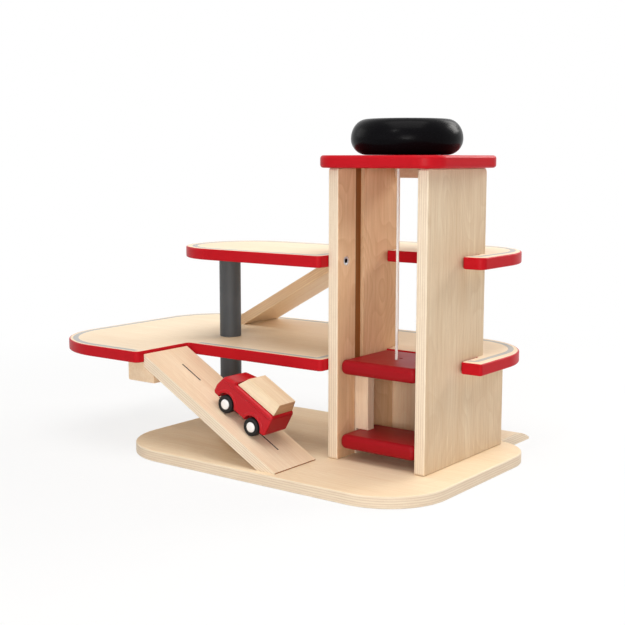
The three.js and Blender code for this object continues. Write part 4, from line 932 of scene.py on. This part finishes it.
WHEELS = [(axle, x, side, hand) for axle, x in AXLES.items() for side, hand in SIDES]
for axle, x, side, hand in WHEELS:
    place(on_truck(flare(f"truck_flare_{axle}_{side}", x, hand)), "truck", "red_paint")

# The load block, narrower at its top and slanted at its front end
verts = [(x + slant * level, y * (15.5 - 2.6 * level), 35.9 + 13 * level)
         for x, slant in ((-95.9, 8.0), (-42.6, 0.0)) for y in (-1, 1) for level in (0, 1)]
load = new_object("truck_load", verts, BLOCK_FACES, [BEECH_LOAD, BEECH_END])
bevel = load.modifiers.new("edges", "BEVEL")
bevel.width, bevel.segments, bevel.limit_method = 0.7, 3, "NONE"
settle(load)
repaint(load, lambda centre, normal: 1 if abs(normal.x) > 0.8 else 0)
place(on_truck(load), "truck", "beech", "load_block")

# The wheels, drawn as (distance from the axle, distance from the truck's middle)
inner, outer = TYRE_INNER, TYRE_OUTER
tyre = rounded([(5.5, inner, 0), (TYRE_RADIUS, inner, 1.2), (TYRE_RADIUS, outer, 1.8),
                (6.6, outer, 0.5), (5.5, outer - 0.5, 0)], 6)
hub = [(0, AXLE_END), (AXLE_HOLE, AXLE_END)] + rounded([
    (AXLE_HOLE, inner, 0), (HUB_RADIUS, inner, 0), (HUB_RADIUS, outer - 0.3, 0.7),
    (3.6, outer + 0.55, 1.2), (0, outer + 0.85, 0)], 5)
for axle, x, side, hand in WHEELS:
    for part, shape, material, slot in (("tyre", tyre + tyre[:1], TYRE, "tyre_rubber"),
                                        ("hub", hub, HUB, "white_hub")):
        obj = lathe(f"{part}_{axle}_{side}", shape, [material], (x, 0, WHEEL_UP), Y * hand, 48)
        place(on_truck(obj), f"{axle}_wheels", slot, f"{axle}_{side}_{part}")

# Bolts that show inside the shaft, from the socket's floor over the head to the shank's end
head = rounded([(0, 1.9, 0), (2.3, 1.9, 0), (2.4, 0.15, 0.2), (2.6, 0.0, 0.1), (4.7, 0.05, 0.3),
                (4.9, 0.4, 0), (5.85, 0.45, 0), (2.6, 2.6, 0), (2.6, 26, 0), (0, 30, 0)], 3)
# Painted shade: the socket and the head's outer rim take a dull black where shade falls on the
# steel.
dark = [1 if max(a[0], b[0]) < 2.55 or min(a[0], b[0]) > 4.68 else 0
        for a, b in zip(head, head[1:])]
for deck, level in BOLT_LEVELS.items():
    for side, hand in SIDES:
        foot = (hand * (PANEL_IN + 0.4), BOLT_Y[side], level)
        obj = lathe(f"bolt_{deck}_{side}", head, [STEEL, SOCKET_SHADE], foot, X * hand, 36, dark)
        place(obj, "garage", "steel", f"{deck}_{side}_bolt")

# The other CAD nodes keep their shape
FINISHES = {"steel": STEEL, "brass": BRASS, "cord": CORD, "beech": BEECH_Z, "plywood": WOOD_X,
            "red_paint": RED, "black_paint": BLACK, "grey_paint": GREY, "tyre_rubber": TYRE,
            "white_hub": HUB, "deck_plywood": WOOD_DECK}
slot_of = {part["node"]: part["material_slot"] for part in frame["record"]["subparts"]}
for node, obj in frame["nodes"].items():
    if obj.hide_render:
        continue
    obj.data.materials.clear()
    obj.data.materials.append(FINISHES[slot_of[node]])

# Floor, light and camera
STAGE_WHITE = (1.0, 1.0, 1.0)
AMBIENT, AMBIENT_STRENGTH = (1.0, 0.955, 0.905), 0.15
LAMP_COLOUR = (1.0, 0.98, 0.95)
FLOOR_RADIUS, FLOOR_LEVEL = 6000, -0.02
FADE_FROM, FADE_TO, FADE_START = 0.42, 1.1, 0.80


def white_floor():
    """A white floor that the eye sees fade into the white world, from FADE_FROM to FADE_TO."""
    s = Shader("studio_floor")
    grain = s.node("ShaderNodeTexNoise", {"Scale": 3.0}).outputs["Fac"]
    s.finish(base_color=s.ramp(grain, [(0.0, 0.80), (1.0, 0.84)]), roughness=0.9)
    glow = s.node("ShaderNodeEmission", {"Color": STAGE_WHITE, "Strength": 1.0})
    away = s.node("ShaderNodeVectorMath", {0: s.place()}, operation="LENGTH")
    fade = s.node("ShaderNodeMapRange", {
        "Value": away.outputs["Value"], "From Min": FADE_FROM, "From Max": FADE_TO,
        "To Min": FADE_START, "To Max": 1.0,
    }, interpolation_type="SMOOTHSTEP")
    share = s.math("MULTIPLY", s.seen_by_eye(), fade.outputs["Result"])
    s.mix_shaders(share, s.surface.outputs["BSDF"], glow.outputs["Emission"], "Material Output")
    return s.material


disc = [(0, FLOOR_LEVEL), (FLOOR_RADIUS, FLOOR_LEVEL)]
floor = lathe("studio_ground", disc, [white_floor()], steps=96)
floor.data.transform(Matrix.Scale(MM, 4))

world = bpy.data.worlds.new("studio_world")
bpy.context.scene.world = world
world.use_nodes = True
sky = Nodes(world.node_tree)
ambient = sky.tree.nodes["Background"]
sky.set(ambient.inputs["Color"], AMBIENT)
sky.set(ambient.inputs["Strength"], AMBIENT_STRENGTH)
white = sky.node("ShaderNodeBackground", {"Color": STAGE_WHITE, "Strength": 1.0})
sky.mix_shaders(sky.seen_by_eye(), ambient.outputs["Background"], white.outputs["Background"],
                "World Output")

# Each lamp's name, place, aim, size and power, in metres and watts
for name, place_at, aim, size, power in (
    ("overhead_softbox", (0.2, -0.3, 1.9), (-0.05, 0.05, 0.1), (1.5, 1.5), 28),
    ("front_softbox", (-0.75, -2.1, 0.5), (0.0, 0.0, 0.14), (1.3, 0.8), 1.5),
    ("near_softbox", (1.1, -1.8, 0.5), (0.0, 0.0, 0.14), (1.1, 0.7), 4),
    ("camera_softbox", (0.82, -1.25, 0.33), (0.0, 0.0, 0.1), (0.5, 0.3), 7),
    ("back_softbox", (0.1, 2.0, 1.5), (0.0, 0.05, 0.2), (0.8, 0.8), 8),
    ("corner_softbox", (0.5, 1.2, 0.9), (0.0, 0.05, 0.2), (0.5, 0.5), 9.5),
    ("spark_softbox", (0.17, -1.95, 1.7), (0.0, 0.0, 0.3), (0.12, 0.08), 8),
    ("left_softbox", (-2.0, -0.3, 0.9), (0.0, 0.0, 0.2), (1.0, 0.8), 4),
):
    data = bpy.data.lights.new(name, "AREA")
    data.shape, data.size, data.size_y = "RECTANGLE", size[0], size[1]
    data.energy, data.color = power, LAMP_COLOUR
    lamp = bpy.data.objects.new(name, data)
    lamp.location = place_at
    lamp.rotation_euler = (Vector(place_at) - Vector(aim)).to_track_quat("Z", "Y").to_euler()
    bpy.context.scene.collection.objects.link(lamp)

# The camera that was fitted to the photo, in metres and degrees
CAMERA_PLACE = Vector((0.608475, -0.911463, 0.318514))
AZIMUTH, PITCH, ROLL = (math.radians(a) for a in (36.97, 7.81, 0.04))
SENSOR, LENS = 36.0, 64.791
look = Vector((-math.sin(AZIMUTH) * math.cos(PITCH), math.cos(AZIMUTH) * math.cos(PITCH),
               -math.sin(PITCH)))
right = look.cross(Z).normalized()
up = right.cross(look)
right, up = (math.cos(ROLL) * right + math.sin(ROLL) * up,
             -math.sin(ROLL) * right + math.cos(ROLL) * up)
lens = bpy.data.cameras.new("studio_camera")
lens.sensor_width, lens.lens = SENSOR, LENS
lens.clip_start, lens.clip_end = 0.05, 30.0
camera = bpy.data.objects.new("studio_camera", lens)
turned = Matrix((right, up, -look)).transposed().to_4x4()
camera.matrix_world = Matrix.Translation(CAMERA_PLACE) @ turned
bpy.context.scene.collection.objects.link(camera)
bpy.context.scene.camera = camera
bpy.context.scene.view_settings.view_transform = "Standard"
